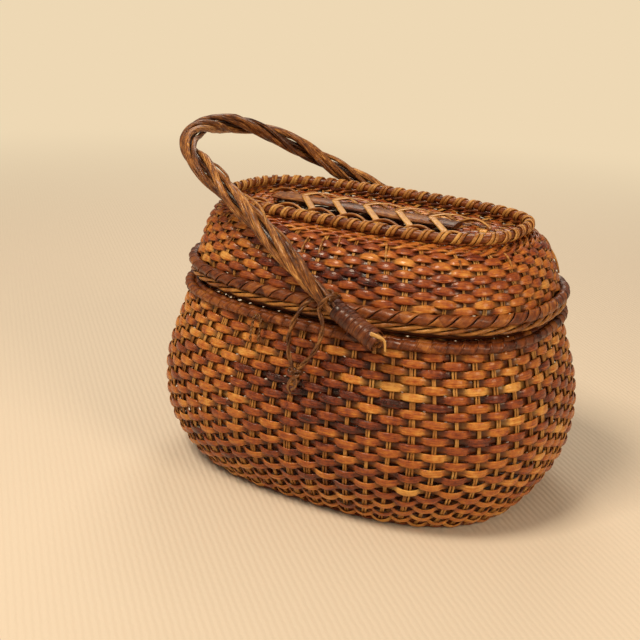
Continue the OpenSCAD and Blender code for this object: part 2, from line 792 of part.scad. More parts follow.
body_wall();
body_base();
body_rim_outer_rod();
body_rim_inner_rod();
body_cane_eye();
body_hinge_loops();
hinge_rods();
lid_wall();
lid_seat_hoop();
lid_edge_rod_upper();
lid_edge_rod_lower();
lid_flange_roll();
lid_top_rim_rod();
lid_top_rim_lashing();
lid_top_panel();
ridge_bar();
ridge_ties();
scallops_front();
scallops_back();
lid_hinge_loops();
bail_peg_front();
bail_peg_back();
bail_vine_1();
bail_vine_2();
bail_vine_3();
bail_vine_4();
bail_vine_5();
bail_thin_vine();
bail_end_front();
bail_end_back();
bail_binding();
tie_loop();
tie_knot();
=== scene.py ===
"""Wicker creel: a bellied basket of plain-woven rattan peel, a domed lid and a twisted vine handle.

Every length below is in millimetres unless its name ends in _m; meshes are written in metres.
"""

import math

import bpy
import numpy as np
from bpy.props import FloatProperty, FloatVectorProperty, IntProperty, PointerProperty
from mathutils import Matrix, Vector


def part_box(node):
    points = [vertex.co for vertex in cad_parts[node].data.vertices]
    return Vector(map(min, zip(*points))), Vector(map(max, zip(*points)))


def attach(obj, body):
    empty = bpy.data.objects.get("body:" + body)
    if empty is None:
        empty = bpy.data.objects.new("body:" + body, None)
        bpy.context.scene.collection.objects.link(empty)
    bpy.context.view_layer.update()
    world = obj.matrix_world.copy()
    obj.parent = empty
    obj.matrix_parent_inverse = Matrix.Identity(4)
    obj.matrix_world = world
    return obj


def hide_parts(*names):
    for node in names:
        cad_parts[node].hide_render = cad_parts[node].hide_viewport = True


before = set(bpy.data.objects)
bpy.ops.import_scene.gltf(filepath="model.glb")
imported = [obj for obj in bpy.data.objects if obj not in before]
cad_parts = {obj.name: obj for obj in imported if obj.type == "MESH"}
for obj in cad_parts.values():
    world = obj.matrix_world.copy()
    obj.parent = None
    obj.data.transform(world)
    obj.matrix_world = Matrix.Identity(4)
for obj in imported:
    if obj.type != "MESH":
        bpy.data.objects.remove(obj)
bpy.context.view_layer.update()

bl_info = {
    "name": "Wicker creel",
    "version": (1, 0, 0),
    "blender": (4, 5, 0),
    "location": "View3D > Sidebar > Creel",
    "description": "Builds a woven creel with a domed lid and a twisted vine handle",
    "category": "Object",
}

MM = 0.001
TAU = 2 * math.pi
STRIP_TREE = "Cane strips"

# the shapes of the part's source; an oval is its half length, half width and, where it is given, squareness
RIM_Z, RIM_R, ROD_IN = 151.0, 3.4, 7.2
MOUTH = (154.0, 113.5, 2.7)
BELLY_OUT, BELLY_Z, FOOT_IN = 18.5, 72.0, 29.5
SEAT_Z = 157.5
EDGE_Z = (161.3, 165.0)
ROLL = (154.8, 110.0, 2.5)
ROLL_Z, ROLL_R = 170.5, 3.5
TOP = (127.0, 65.5, 3.2)
TOP_Z, TOP_R, TOP_SHIFT = 222.5, 3.2, -5.0
DOME_TOP, DOME_LOW, DOME_FULL = 216.9, 174.5, 2.6
LID_T, PANEL_Z = 4.0, 213.9
SLOT, SLOT_MID = (75.0, 19.0), (-14.0, -4.0)
HINGE_X, HINGE_Y, HINGE_Z = 55.0, 119.81, 158.1
BAIL_X, BAIL_Y, BAIL_Z, BAIL_REACH, BAIL_LEAN = 26.0, 124.09, 177.5, 203.0, 62.0
UP = np.array([0, 0, 1.0])


# ---------------------------------------------------------------- curves of the basket

def shares(count):
    """Equal shares of a closed way round, from 0 and without 1."""
    return np.arange(count) / count


def oval(a, b, n, share):
    """Points and outward normals of a squared oval at equal shares of its way round."""
    def at(t):
        reach = (np.abs(np.cos(t) / a) ** n + np.abs(np.sin(t) / b) ** n) ** (-1 / n)
        return reach * np.cos(t), reach * np.sin(t)
    turn = np.linspace(0, TAU, 1441)
    x, y = at(turn)
    way = np.concatenate([[0], np.cumsum(np.hypot(np.diff(x), np.diff(y)))])
    x, y = at(np.interp(np.mod(share, 1.0) * way[-1], way, turn))
    nx = np.sign(x) * np.abs(x / a) ** (n - 1) / a
    ny = np.sign(y) * np.abs(y / b) ** (n - 1) / b
    size = np.hypot(nx, ny)
    return x, y, nx / size, ny / size


def belly(z):
    """How far the wall stands out past the mouth at height z."""
    if z > BELLY_Z:
        rise = min(1.0, max(0.0, (RIM_Z - z) / (RIM_Z - BELLY_Z)))
        return BELLY_OUT * math.sin(math.pi / 2 * rise) ** 1.25
    return BELLY_OUT - FOOT_IN * ((BELLY_Z - z) / BELLY_Z) ** 2.4


def wall_ring(z, inset, share):
    """A level ring of the body's wall, inset from its outer face."""
    slope = belly(z + 0.5) - belly(z - 0.5)
    x, y, nx, ny = oval(MOUTH[0] + belly(z) - inset, MOUTH[1] + belly(z) - inset, MOUTH[2], share)
    out = np.stack([nx, ny, np.full_like(nx, -slope)], 1)
    out /= np.linalg.norm(out, axis=1)[:, None]
    return np.stack([x, y, np.full_like(x, z)], 1), out


def even_steps(profile, low, high, count):
    """Heights that divide a profile into equal lengths along its surface."""
    t = np.linspace(low, high, 400)
    way = way_along(np.array([profile(v) for v in t]))
    return np.interp((np.arange(count) + 0.5) / count * way[-1], way, t)


def dome_sizes(o):
    """Half length, half width, squareness, height and shift of the lid, from its top (0) to the roll (1)."""
    a0, b0 = TOP[0] - TOP_R, TOP[1] - TOP_R
    # the foot of the dome reaches a little way into the roll
    gap, into = 0.3, 0.6
    a1, b1 = ROLL[0] - ROLL_R - gap + into, ROLL[1] - ROLL_R - gap + into
    return (a0 + o * (a1 - a0), b0 + o * (b1 - b0), TOP[2] + o * (ROLL[2] - TOP[2]),
            DOME_TOP - o ** DOME_FULL * (DOME_TOP - DOME_LOW), TOP_SHIFT * (1 - o))


def dome_ring(o, inset, share):
    """A ring of the lid's dome at o, inset from its outer face."""
    a, b, n, z, shift = dome_sizes(o)
    below, above = dome_sizes(min(1.0, o + 0.02)), dome_sizes(max(0.0, o - 0.02))
    x, y, nx, ny = oval(a, b, n, share)
    run, fall = below[1] - above[1], above[3] - below[3]
    size = math.hypot(run, fall)
    out = np.stack([nx * fall / size, ny * fall / size, np.full_like(nx, run / size)], 1)
    return np.stack([x + shift, y, np.full_like(x, z)], 1) - out * inset, out


def panel_ring(q, share, z=PANEL_Z):
    """A ring of the sunk top, q from 0 at the rim to 1 at the slot."""
    x0, y0 = oval(TOP[0] - TOP_R - 3, TOP[1] - TOP_R - 3, TOP[2], share)[:2]
    x1, y1 = oval(SLOT[0] + 6, SLOT[1] + 4, 2.6, share)[:2]
    x = (x0 + TOP_SHIFT) * (1 - q) + (x1 + SLOT_MID[0]) * q
    y = y0 * (1 - q) + (y1 + SLOT_MID[1]) * q
    return np.stack([x, y, np.full_like(x, z)], 1), np.tile(UP, (len(x), 1))


def level_ring(shape, z, shift, share):
    """A level oval ring at height z, with its level outward directions."""
    x, y, nx, ny = oval(*shape, share)
    return np.stack([x + shift, y, np.full_like(x, z)], 1), np.stack([nx, ny, 0 * nx], 1)


def way_along(path):
    """The way gone at each point of a path."""
    return np.concatenate([[0], np.cumsum(np.linalg.norm(np.diff(path, axis=0), axis=1))])


def spline(points, count):
    """A smooth curve of count points through the given ones, with as many on each span."""
    p = np.asarray(points, float)
    n = len(p) - 1
    t = np.linspace(0, 1, count) * n
    k = np.minimum(t.astype(int), n - 1)
    u = (t - k)[:, None]
    a, b, c, d = p[np.maximum(k - 1, 0)], p[k], p[k + 1], p[np.minimum(k + 2, n)]
    return 0.5 * (2 * b + (c - a) * u + (2 * a - 5 * b + 4 * c - d) * u ** 2
                  + (3 * b - 3 * c + d - a) * u ** 3)


def frames_along(path, up):
    """Unit tangents and two unit vectors square to them, the first leaning towards up."""
    t = np.gradient(path, axis=0)
    t /= np.linalg.norm(t, axis=1)[:, None]
    up = np.broadcast_to(np.asarray(up, float), path.shape)
    u = up - (up * t).sum(1)[:, None] * t
    u /= np.linalg.norm(u, axis=1)[:, None]
    return t, u, np.cross(t, u)


def around(ang, u, v):
    """Directions at these angles, turned from u towards v."""
    return np.cos(ang)[:, None] * u + np.sin(ang)[:, None] * v


def coiled(path, up, radius, turns, start=0.0):
    """A path wound round another path, with its direction away from it."""
    u, v = frames_along(path, up)[1:]
    way = way_along(path)
    out = around(start + turns * TAU * way / way[-1], u, v)
    return path + radius * out, out


# ---------------------------------------------------------------- nodes

def linear(hexa):
    """sRGB hex colour as linear RGBA."""
    rgb = [int(hexa[i:i + 2], 16) / 255 for i in (1, 3, 5)]
    return tuple(c / 12.92 if c <= 0.04045 else ((c + 0.055) / 1.055) ** 2.4 for c in rgb) + (1.0,)


def add(tree, kind, put=None, **settings):
    """Adds a node with its settings; put gives each input a value, or a node or socket to link to it."""
    made = tree.nodes.new(kind)
    for key, value in settings.items():
        setattr(made, key, value)
    for key, value in (put or {}).items():
        if isinstance(value, bpy.types.Node):
            value = value.outputs[0]
        if isinstance(value, bpy.types.NodeSocket):
            tree.links.new(value, made.inputs[key])
        else:
            made.inputs[key].default_value = value
    return made


def strip_tree():
    """Cane strips: each guide line becomes a strip that waves in and out of the weave."""
    tree = bpy.data.node_groups.new(STRIP_TREE, "GeometryNodeTree")
    tree.is_modifier = True
    for label, kind in (("Geometry", "Geometry"), ("Width", "Float"), ("Thickness", "Float"),
                        ("Weave Depth", "Float"), ("Sides", "Int"), ("Bump Height", "Float"),
                        ("Bump Size", "Float"), ("Ridges", "Float"), ("Seed", "Float"),
                        ("Material", "Material")):
        tree.interface.new_socket(label, in_out="INPUT", socket_type="NodeSocket" + kind)
    tree.interface.new_socket("Geometry", in_out="OUTPUT", socket_type="NodeSocketGeometry")
    given = tree.nodes.new("NodeGroupInput").outputs
    line = {name: add(tree, "GeometryNodeInputNamedAttribute", {"Name": name},
                      data_type="FLOAT_VECTOR" if name == "out" else "FLOAT")
            for name in ("out", "lift", "girth", "run", "round")}
    depth = add(tree, "ShaderNodeMath", {0: line["lift"], 1: given["Weave Depth"]}, operation="MULTIPLY")
    away = add(tree, "ShaderNodeVectorMath", {0: line["out"], "Scale": depth}, operation="SCALE")
    waved = add(tree, "GeometryNodeSetPosition", {"Geometry": given["Geometry"], "Offset": away})
    curve = add(tree, "GeometryNodeMeshToCurve", {"Mesh": waved})
    faced = add(tree, "GeometryNodeSetCurveNormal", {"Curve": curve, "Normal": line["out"]}, mode="FREE")
    ring = add(tree, "GeometryNodeCurvePrimitiveCircle", {"Resolution": given["Sides"], "Radius": 0.5})
    place = add(tree, "GeometryNodeSplineParameter").outputs["Factor"]
    marked = add(tree, "GeometryNodeStoreNamedAttribute", {"Geometry": ring, "Name": "round", "Value": place},
                 data_type="FLOAT", domain="POINT")
    flat = add(tree, "ShaderNodeCombineXYZ", {0: given["Thickness"], 1: given["Width"], 2: 1.0})
    profile = add(tree, "GeometryNodeTransform", {"Geometry": marked, "Scale": flat})
    body = add(tree, "GeometryNodeCurveToMesh",
               {"Curve": faced, "Profile Curve": profile, "Scale": line["girth"], "Fill Caps": True})
    # relief that runs along the strand: the place round it is a circle, so that it meets itself
    turn = add(tree, "ShaderNodeMath", {0: line["round"], 1: TAU}, operation="MULTIPLY")
    spot = {0: add(tree, "ShaderNodeMath", {0: line["run"], 1: given["Bump Size"], 2: given["Seed"]},
                   operation="MULTIPLY_ADD")}
    for axis, wave in ((1, "SINE"), (2, "COSINE")):
        part = add(tree, "ShaderNodeMath", {0: turn}, operation=wave)
        spot[axis] = add(tree, "ShaderNodeMath", {0: part, 1: given["Ridges"]}, operation="MULTIPLY")
    spot = add(tree, "ShaderNodeCombineXYZ", spot)
    noise = add(tree, "ShaderNodeTexNoise", {"Vector": spot, "Scale": 1.0, "Detail": 2.0}).outputs["Fac"]
    centred = add(tree, "ShaderNodeMath", {0: noise, 1: 0.5}, operation="SUBTRACT")
    height = add(tree, "ShaderNodeMath", {0: centred, 1: given["Bump Height"]}, operation="MULTIPLY")
    normal = add(tree, "GeometryNodeInputNormal")
    push = add(tree, "ShaderNodeVectorMath", {0: normal, "Scale": height}, operation="SCALE")
    rough = add(tree, "GeometryNodeSetPosition", {"Geometry": body, "Offset": push})
    smooth = add(tree, "GeometryNodeSetShadeSmooth", {"Geometry": rough})
    real = add(tree, "GeometryNodeRealizeInstances", {"Geometry": smooth})
    dressed = add(tree, "GeometryNodeSetMaterial", {"Geometry": real, "Material": given["Material"]})
    add(tree, "NodeGroupOutput", {"Geometry": dressed})
    return tree


def strand(points, out, tint=0.5, lift=0.0, girth=1.0, closed=False):
    """A guide line: its points, the way its face looks, its tint, how high it rides (a low lift also paints
    shade on it) and how thick it is.
    """
    return {"points": np.asarray(points, float), "out": out, "tint": tint, "lift": lift, "girth": girth,
            "closed": closed}


def placed(name, data):
    """A new object with this data, in the scene."""
    made = bpy.data.objects.new(name, data)
    bpy.context.scene.collection.objects.link(made)
    return made


def guide(name, lines):
    """A mesh of bare lines with what the tree needs to know at each point."""
    points, edges, data = [], [], {"out": [], "lift": [], "girth": [], "tint": [], "run": []}
    for line in lines:
        p = line["points"]
        n, first = len(p), len(points)
        points.extend(map(tuple, p * MM))
        edges.extend((first + i, first + i + 1) for i in range(n - 1))
        if line["closed"]:
            edges.append((first + n - 1, first))
        line["run"] = way_along(p)
        for key, parts in data.items():
            parts.append(np.broadcast_to(np.asarray(line[key], float), (n, 3) if key == "out" else (n,)))
    mesh = bpy.data.meshes.new(name)
    mesh.from_pydata(points, edges, [])
    for key, parts in data.items():
        layer = mesh.attributes.new(key, "FLOAT_VECTOR" if key == "out" else "FLOAT", "POINT")
        layer.data.foreach_set("vector" if key == "out" else "value", np.concatenate(parts).ravel())
    return placed(name, mesh)


def strips(name, lines, width, thick, material, depth=0.0, sides=8, bump=0.0, bump_mm=9.0, ridges=0.8,
           seed=1.0):
    """Runs the strip tree on guide lines and keeps its result as a plain mesh."""
    made = guide(name, lines)
    tree = bpy.data.node_groups.get(STRIP_TREE) or strip_tree()
    step = made.modifiers.new(name, "NODES")
    step.node_group = tree
    values = {"Width": width * MM, "Thickness": thick * MM, "Weave Depth": depth * MM, "Sides": sides,
              "Bump Height": bump * MM, "Bump Size": 1 / bump_mm, "Ridges": ridges, "Seed": 17.3 * seed,
              "Material": finish(material)}
    for socket in tree.interface.items_tree:
        if socket.in_out == "INPUT" and socket.name in values:
            step[socket.identifier] = values[socket.name]
    made.update_tag()
    bpy.context.view_layer.update()
    result = made.evaluated_get(bpy.context.evaluated_depsgraph_get())
    mesh, old = bpy.data.meshes.new_from_object(result), made.data
    made.modifiers.remove(step)
    made.data = mesh
    mesh.name = name
    bpy.data.meshes.remove(old)
    return made


def keep(piece, body, slot, *nodes):
    """Lets a piece ride on its body, and stand in for the nodes that it shows."""
    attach(piece, body)
    if nodes:
        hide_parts(*nodes)


# ---------------------------------------------------------------- materials

# painted shade: the near-black colour painted into the hollows of the weave
HOLLOW_SHADE = "#1A0A04"
PEEL, REED, LASHING = "Varnished rattan peel", "Varnished reed", "Golden cane lashing"
WRAPPING, DARK, BLACKENED = "Brown cane wrapping", "Dark cane", "Blackened cane binding"
SLAT, VINE = "Split chestnut slat", "Rubbed akebia vine"
# name: colours from dark to light, roughness, coat, streaks across a strip, their contrast, relief
FINISHES = {
    # shiny outer peel of rattan, split flat and varnished: long streaks, wet-looking highlights
    PEEL: (("#2A0B04", "#63230C", "#994A17", "#C0762A", "#DCA452"), 0.42, 0.3, 16, 1.1, 0.6),
    # thin round reed, a little paler and duller than the peel
    REED: (("#3A190A", "#6B3A17", "#96602A", "#B98442", "#D2A662"), 0.5, 0.12, 6, 0.9, 0.4),
    # golden peel of the lashings and ties
    LASHING: (("#5C3114", "#8A5223", "#AD7636", "#C7954F", "#DDB271"), 0.45, 0.15, 10, 1.0, 0.5),
    # brown peel wrapped round the rims
    WRAPPING: (("#2A1006", "#58270E", "#80431A", "#A3652B", "#C28B45"), 0.45, 0.15, 14, 1.0, 0.6),
    # dark bark-on cane of ties and loops
    DARK: (("#180B05", "#351B0B", "#573014", "#7C4E24", "#A5743F"), 0.36, 0.25, 6, 1.2, 0.5),
    # split slat with open grain
    SLAT: (("#2C1308", "#50270F", "#75411C", "#94602F", "#B3824A"), 0.55, 0.1, 26, 1.6, 0.7),
    # climbing vine with its bark rubbed off by hands: ridged, satin on the ridges
    VINE: (("#1C0B04", "#44200C", "#70401A", "#9C632D", "#CE9A58"), 0.46, 0.15, 22, 2.2, 1.0),
    # the same peel as the body's, blackened by sweat and handling
    BLACKENED: (("#1A0904", "#38160A", "#582A13", "#7A431F", "#A3682F"), 0.42, 0.2, 14, 1.4, 0.7),
}


def finish(name):
    """The named material: a colour per strip, streaks along it and painted shade where it dives under."""
    made = bpy.data.materials.get(name)
    if made:
        return made
    stops, rough, coat, streak, contrast, bump = FINISHES[name]
    made = bpy.data.materials.new(name)
    made.use_nodes = True
    tree = made.node_tree
    shader = tree.nodes["Principled BSDF"]
    strip = {name: add(tree, "ShaderNodeAttribute", attribute_name=name).outputs["Fac"]
             for name in ("tint", "run", "round", "lift")}
    where = add(tree, "ShaderNodeTexCoord").outputs["Object"]
    # fibres run along the strip: fine steps across it, some 11 mm long along it
    spot = {axis: add(tree, "ShaderNodeMath", {0: strip[key], 1: much}, operation="MULTIPLY")
            for axis, key, much in ((0, "run", 0.09), (1, "round", float(streak)), (2, "tint", 37.0))}
    spot = add(tree, "ShaderNodeCombineXYZ", spot)
    fibre = add(tree, "ShaderNodeTexNoise",
                {"Vector": spot, "Scale": 1.0, "Detail": 3.0, "Roughness": 0.6}).outputs["Fac"]
    # stains of some 7 mm
    blotch = add(tree, "ShaderNodeTexNoise",
                 {"Vector": where, "Scale": 150.0, "Detail": 4.0, "Roughness": 0.65}).outputs["Fac"]
    shade = add(tree, "ShaderNodeMath", {0: fibre, 1: contrast, 2: -contrast / 2}, operation="MULTIPLY_ADD")
    stain = add(tree, "ShaderNodeMath", {0: blotch, 1: 0.9, 2: -0.45}, operation="MULTIPLY_ADD")
    shaded = add(tree, "ShaderNodeMath", {0: strip["tint"], 1: shade}, operation="ADD")
    stained = add(tree, "ShaderNodeMath", {0: shaded, 1: stain}, operation="ADD")
    ramp = add(tree, "ShaderNodeValToRGB", {"Fac": stained})
    ends = ramp.color_ramp.elements
    for i, stop in enumerate(stops):
        last = len(stops) - 1
        element = ends[0] if i == 0 else ends[-1] if i == last else ends.new(i / last)
        element.color = linear(stop)
    # painted shade: the colour darkens towards a near-black where a strip dives under its neighbour, and
    # wherever else a line's lift is low
    shade_free = add(tree, "ShaderNodeMapRange",
                {"Value": strip["lift"], "From Min": -0.9, "From Max": 0.35, "To Min": 0.22, "To Max": 1.0})
    final = add(tree, "ShaderNodeMix", {"Factor": shade_free, 6: linear(HOLLOW_SHADE), 7: ramp},
                data_type="RGBA", blend_type="MIX")
    tree.links.new(final.outputs[2], shader.inputs["Base Color"])
    gloss = add(tree, "ShaderNodeMapRange", {"Value": blotch, "From Min": 0.3, "From Max": 0.7,
                                             "To Min": rough - 0.1, "To Max": rough + 0.16})
    # the darkest strips are the most soaked with varnish, and the shiniest
    soaked = add(tree, "ShaderNodeMapRange", {"Value": strip["tint"], "From Min": 0.2, "From Max": 0.6,
                                              "To Min": -0.16, "To Max": 0.0})
    shiny = add(tree, "ShaderNodeMath", {0: gloss, 1: soaked}, operation="ADD")
    tree.links.new(shiny.outputs[0], shader.inputs["Roughness"])
    for key, value in (("IOR", 1.5), ("Coat Weight", coat), ("Coat Roughness", 0.14),
                       ("Specular IOR Level", 0.3)):
        shader.inputs[key].default_value = value
    relief = add(tree, "ShaderNodeBump", {"Height": fibre, "Strength": bump, "Distance": 0.0006})
    tree.links.new(relief.outputs[0], shader.inputs["Normal"])
    return made


# ---------------------------------------------------------------- weaving

def front_tone(points):
    """The front middle of the basket is soaked darker and redder than its ends; the lower front is darker as
    well, and that part is painted shade.
    """
    x, y, z = points[:, 0], points[:, 1], points[:, 2]
    spot = np.exp(-((x - 2) / 62) ** 2 - ((z - 112) / 42) ** 2) * (y < 0)
    # painted shade: darker low on the front, where the wall turns in under the belly
    low = np.exp(-((x + 20) / 110) ** 2 - ((z - 40) / 36) ** 2) * (y < 0)
    return 0.02 - 0.27 * spot - 0.13 * low


def drifting(count, rng, waves=(2, 3, 5, 8, 13)):
    """A closed run of values between about -1 and 1 that change slowly from one to the next."""
    at = shares(count) * TAU
    run = sum(rng.normal() * np.sin(w * at + rng.random() * TAU) / math.sqrt(w) for w in waves)
    return run / 1.6


def woven_rows(rings, stakes, rng, tone, leaf, taper, sag=0.0, jog=0.5, per=8):
    """Plain weave: each row passes over one stake and under the next, the next row the other way.

    leaf is the share of its width that a strip loses between stakes, taper how suddenly, sag how many
    millimetres the lowest row hangs, jog how far strips stray up and down, and per the points to a stake."""
    lines = []
    share = shares(stakes * per)
    half = stakes // 2
    for j, ring in enumerate(rings):
        points, out = ring(share)
        wave = np.cos(math.pi * (share * stakes + j))
        # lift sets how far a strip goes in and out, and also paints shade on it where it dives under
        lift = np.sign(wave) * np.abs(wave) ** 0.55
        near = np.round((share * stakes + j % 2) / 2).astype(int) % half
        weight = np.clip(wave, 0, 1) ** 0.5
        up = np.cross(out, np.gradient(points, axis=0))
        up *= (np.sign(up[:, 2] + 1e-9) / np.linalg.norm(up, axis=1))[:, None]
        points = points + up * ((rng.random(half) - 0.5) * jog)[near][:, None] * weight[:, None]
        # the lower rows are looser and hang from stake to stake
        loose = 1.0 + 1.6 * max(0.0, 1 - j / 8)
        slope = np.sin(math.pi * (share * stakes + j)) * ((rng.random(half) - 0.5) * jog * loose)[near]
        points = points + up * (slope - sag * max(0.0, 1 - j / 13) * wave)[:, None]
        # narrow where it dives, and spread out flat behind the stake
        girth = 1 - leaf + np.where(wave > 0, leaf, leaf + 0.22) * np.abs(wave) ** taper
        girth = girth * (1 + (0.14 * (rng.random(half) - 0.5))[near] * weight)
        girth *= 1 - 0.12 * sag * max(0.0, 1 - j / 11)
        tint = (0.62 + 0.08 * rng.normal() + 0.12 * drifting(half, rng)[near]
                + 0.10 * rng.normal(size=half)[near])
        lines.append(strand(points, out, np.clip(tint + tone(points), 0.03, 0.97), lift, girth, closed=True))
    return lines


def upright_reeds(ring_at, stakes, spread, rng, tone, samples=40):
    """Stakes of two or three thin reeds side by side along ring_at(share, t), t from 0 below to 1 above."""
    lines = []
    t = np.linspace(0, 1, samples)
    for i in range(stakes):
        count = int(rng.integers(2, 4))
        tone_at = rng.random()
        drift = (rng.random(2) - 0.5) * 0.0012
        share = i / stakes + drift[0] * (1 - t) + drift[1] * t
        for k in range(count):
            points, out = ring_at(share, t)
            along = ring_at(share + 1e-4, t)[0] - points
            along /= np.linalg.norm(along, axis=1)[:, None]
            points = points + along * ((k - (count - 1) / 2) * spread)
            points = points + along * (0.35 * np.sin(t * 9 + k * 2 + i))[:, None]
            tint = np.clip(0.40 + 0.3 * tone_at + 0.2 * rng.random() + 0.7 * tone(points), 0.02, 0.98)
            lines.append(strand(points, out, tint, lift=0.4))
    return lines


def column_of(ring):
    """Turns ring(t, one share) into a column: points and outward directions at many shares and heights."""
    def at(share, t):
        rows = [ring(float(tt), np.array([ss])) for tt, ss in zip(t, share)]
        return np.concatenate([row[0] for row in rows]), np.concatenate([row[1] for row in rows])
    return at


def wraps_round(shape, z, radius, turns, rng, tone, per=22, starts=1):
    """A core and one or more long strips wound round it, each turn with its own colour."""
    even = shares(turns * per)
    path, out = level_ring(shape, z, 0, even)
    # lift here only paints shade: the core is shaded, and each turn darker on its inner side
    lines = [strand(path[::4], out[::4], 0.05, lift=-0.5, girth=0.2 * radius, closed=True)]
    for k in range(starts):
        ang = even * TAU * turns + k * TAU / starts
        away = around(ang, out, UP)
        tint = 0.5 + tone + 0.1 * rng.normal(size=turns) + 0.1 * drifting(turns, rng)
        lines.append(strand(path + radius * away, away, np.repeat(np.clip(tint, 0.05, 0.95), per),
                            0.35 + 0.3 * np.cos(ang), closed=True))
    return lines


def twisted(path, up, radius, turns, count, **looks):
    """Strands twisted round each other along a path."""
    made = []
    for k in range(count):
        points, out = coiled(path, up, radius, turns, k * TAU / count)
        made.append(strand(points, out, **looks))
    return made


# ---------------------------------------------------------------- settings

class CreelSizes(bpy.types.PropertyGroup):
    """Sizes of the strips and counts of the weave"""
    body_stakes: IntProperty(name="Body stakes", description="Stakes round the basket, an even number",
                             default=60, min=40, max=90, step=2)
    lid_stakes: IntProperty(name="Lid stakes", description="Stakes round the lid, an even number",
                            default=56, min=40, max=90, step=2)
    body_rows: IntProperty(name="Body rows", description="Rows of weavers up the basket",
                           default=25, min=14, max=36)
    lid_rows: IntProperty(name="Lid rows", description="Rows of weavers up the lid",
                          default=10, min=5, max=16)
    strip_width: FloatProperty(name="Strip width", description="Width of a flat weaver", unit="LENGTH",
                               subtype="DISTANCE", default=0.0067, min=0.003, max=0.01)
    strip_thickness: FloatProperty(name="Strip thickness", description="Thickness of a flat weaver",
                                   unit="LENGTH", subtype="DISTANCE", default=0.0013, min=0.0006, max=0.003)
    weave_depth: FloatProperty(name="Weave depth", description="How far a weaver stands in and out",
                               unit="LENGTH", subtype="DISTANCE", default=0.0019, min=0.0005, max=0.004)
    reed: FloatProperty(name="Reed", description="Thickness of one reed of a stake", unit="LENGTH",
                        subtype="DISTANCE", default=0.0017, min=0.0008, max=0.003)
    rim_lashes: IntProperty(name="Top lashes", description="Turns of the pale strip round the top rim",
                            default=58, min=20, max=80)


class CreelColours(bpy.types.PropertyGroup):
    """Colours of the setting"""
    table: FloatVectorProperty(name="Table", description="Colour of the table", subtype="COLOR", size=4,
                               default=linear("#DDD1C0"), min=0, max=1)
    backdrop: FloatVectorProperty(name="Backdrop", description="Colour behind the basket", subtype="COLOR",
                                  size=4, default=linear("#EED8B4"), min=0, max=1)


# ---------------------------------------------------------------- the pieces

class Builder:
    """Shared by the operators: the settings, and a seeded source of chance for each piece."""
    bl_options = {"REGISTER", "UNDO"}
    seed = 1

    def execute(self, context):
        self.size = context.scene.creel_sizes
        self.colour = context.scene.creel_colours
        self.rng = np.random.default_rng(self.seed)
        self.build()
        return {"FINISHED"}


class CREEL_OT_body_weave(Builder, bpy.types.Operator):
    """Weave the bellied wall of flat strips over its upright stakes"""
    bl_idname = "creel.body_weave"
    bl_label = "Body weave"
    seed = 11

    def build(self):
        size = self.size
        inset, low, high = 2.6, 3.8, RIM_Z - 4.2
        heights = even_steps(lambda z: (belly(z), z), low, high, size.body_rows)
        rings = [lambda s, z=z: wall_ring(z, inset, s) for z in heights]
        lines = woven_rows(rings, size.body_stakes, self.rng, front_tone, leaf=0.24, taper=0.35, sag=2.5)
        half = len(lines) // 2
        for name, part, nodes in (("body_weavers_lower", lines[:half], ["body_wall"]),
                                  ("body_weavers_upper", lines[half:], [])):
            keep(strips(name, part, size.strip_width / MM, size.strip_thickness / MM, PEEL,
                        depth=size.weave_depth / MM, bump=0.35),
                 "basket", "weave", *nodes)
        column = column_of(lambda t, share: wall_ring(1.6 + (RIM_Z - 3.0) * t, inset, share))
        reed = size.reed / MM
        reeds = upright_reeds(column, size.body_stakes, reed * 1.05, self.rng, front_tone)
        keep(strips("body_stakes", reeds, reed, reed, REED, sides=6), "basket", "light_cane")


class CREEL_OT_body_base(Builder, bpy.types.Operator):
    """Weave the bottom across the foot of the basket"""
    bl_idname = "creel.body_base"
    bl_label = "Body base"
    seed = 12

    def build(self):
        foot = MOUTH[0] + belly(0), MOUTH[1] + belly(0), MOUTH[2]
        a, b, n = foot[0] - 4.0, foot[1] - 4.0, foot[2]
        pitch, height, down = 12.0, 2.4, (0, 0, -1)
        weave = []
        # strips along the foot, then strips across it that dip where the first ones rise
        for axis, long, wide, rows, rise in ((0, a, b, 8, 1), (1, b, a, 11, -1)):
            for k in range(-rows, rows + 1):
                reach = long * (1 - min(0.999, abs(k * pitch / wide)) ** n) ** (1 / n)
                if reach < 20:
                    continue
                way = np.linspace(-reach, reach, int(reach / 2))
                p = np.full((len(way), 3), height)
                p[:, axis], p[:, 1 - axis] = way, k * pitch
                lift = rise * np.cos(math.pi * (way / pitch + k))
                weave.append(strand(p, down, 0.3 + 0.4 * self.rng.random(), lift))
        share = shares(480)
        border = []
        for k, (inset, z) in enumerate(((2.0, 1.5), (2.0, 3.4), (6.0, 1.6), (6.0, 3.6))):
            p, out = level_ring((foot[0] - inset, foot[1] - inset, n), z, 0, share)
            p = p + out * (0.8 * np.sin(share * TAU * 60 + k * math.pi))[:, None]
            border.append(strand(p, down, 0.35 + 0.2 * self.rng.random(), closed=True))
        keep(strips("base_border", border, 4.2, 2.0, PEEL), "basket", "weave")
        keep(strips("base_weave", weave, 11.0, 1.2, PEEL, depth=0.75), "basket", "weave", "body_base")


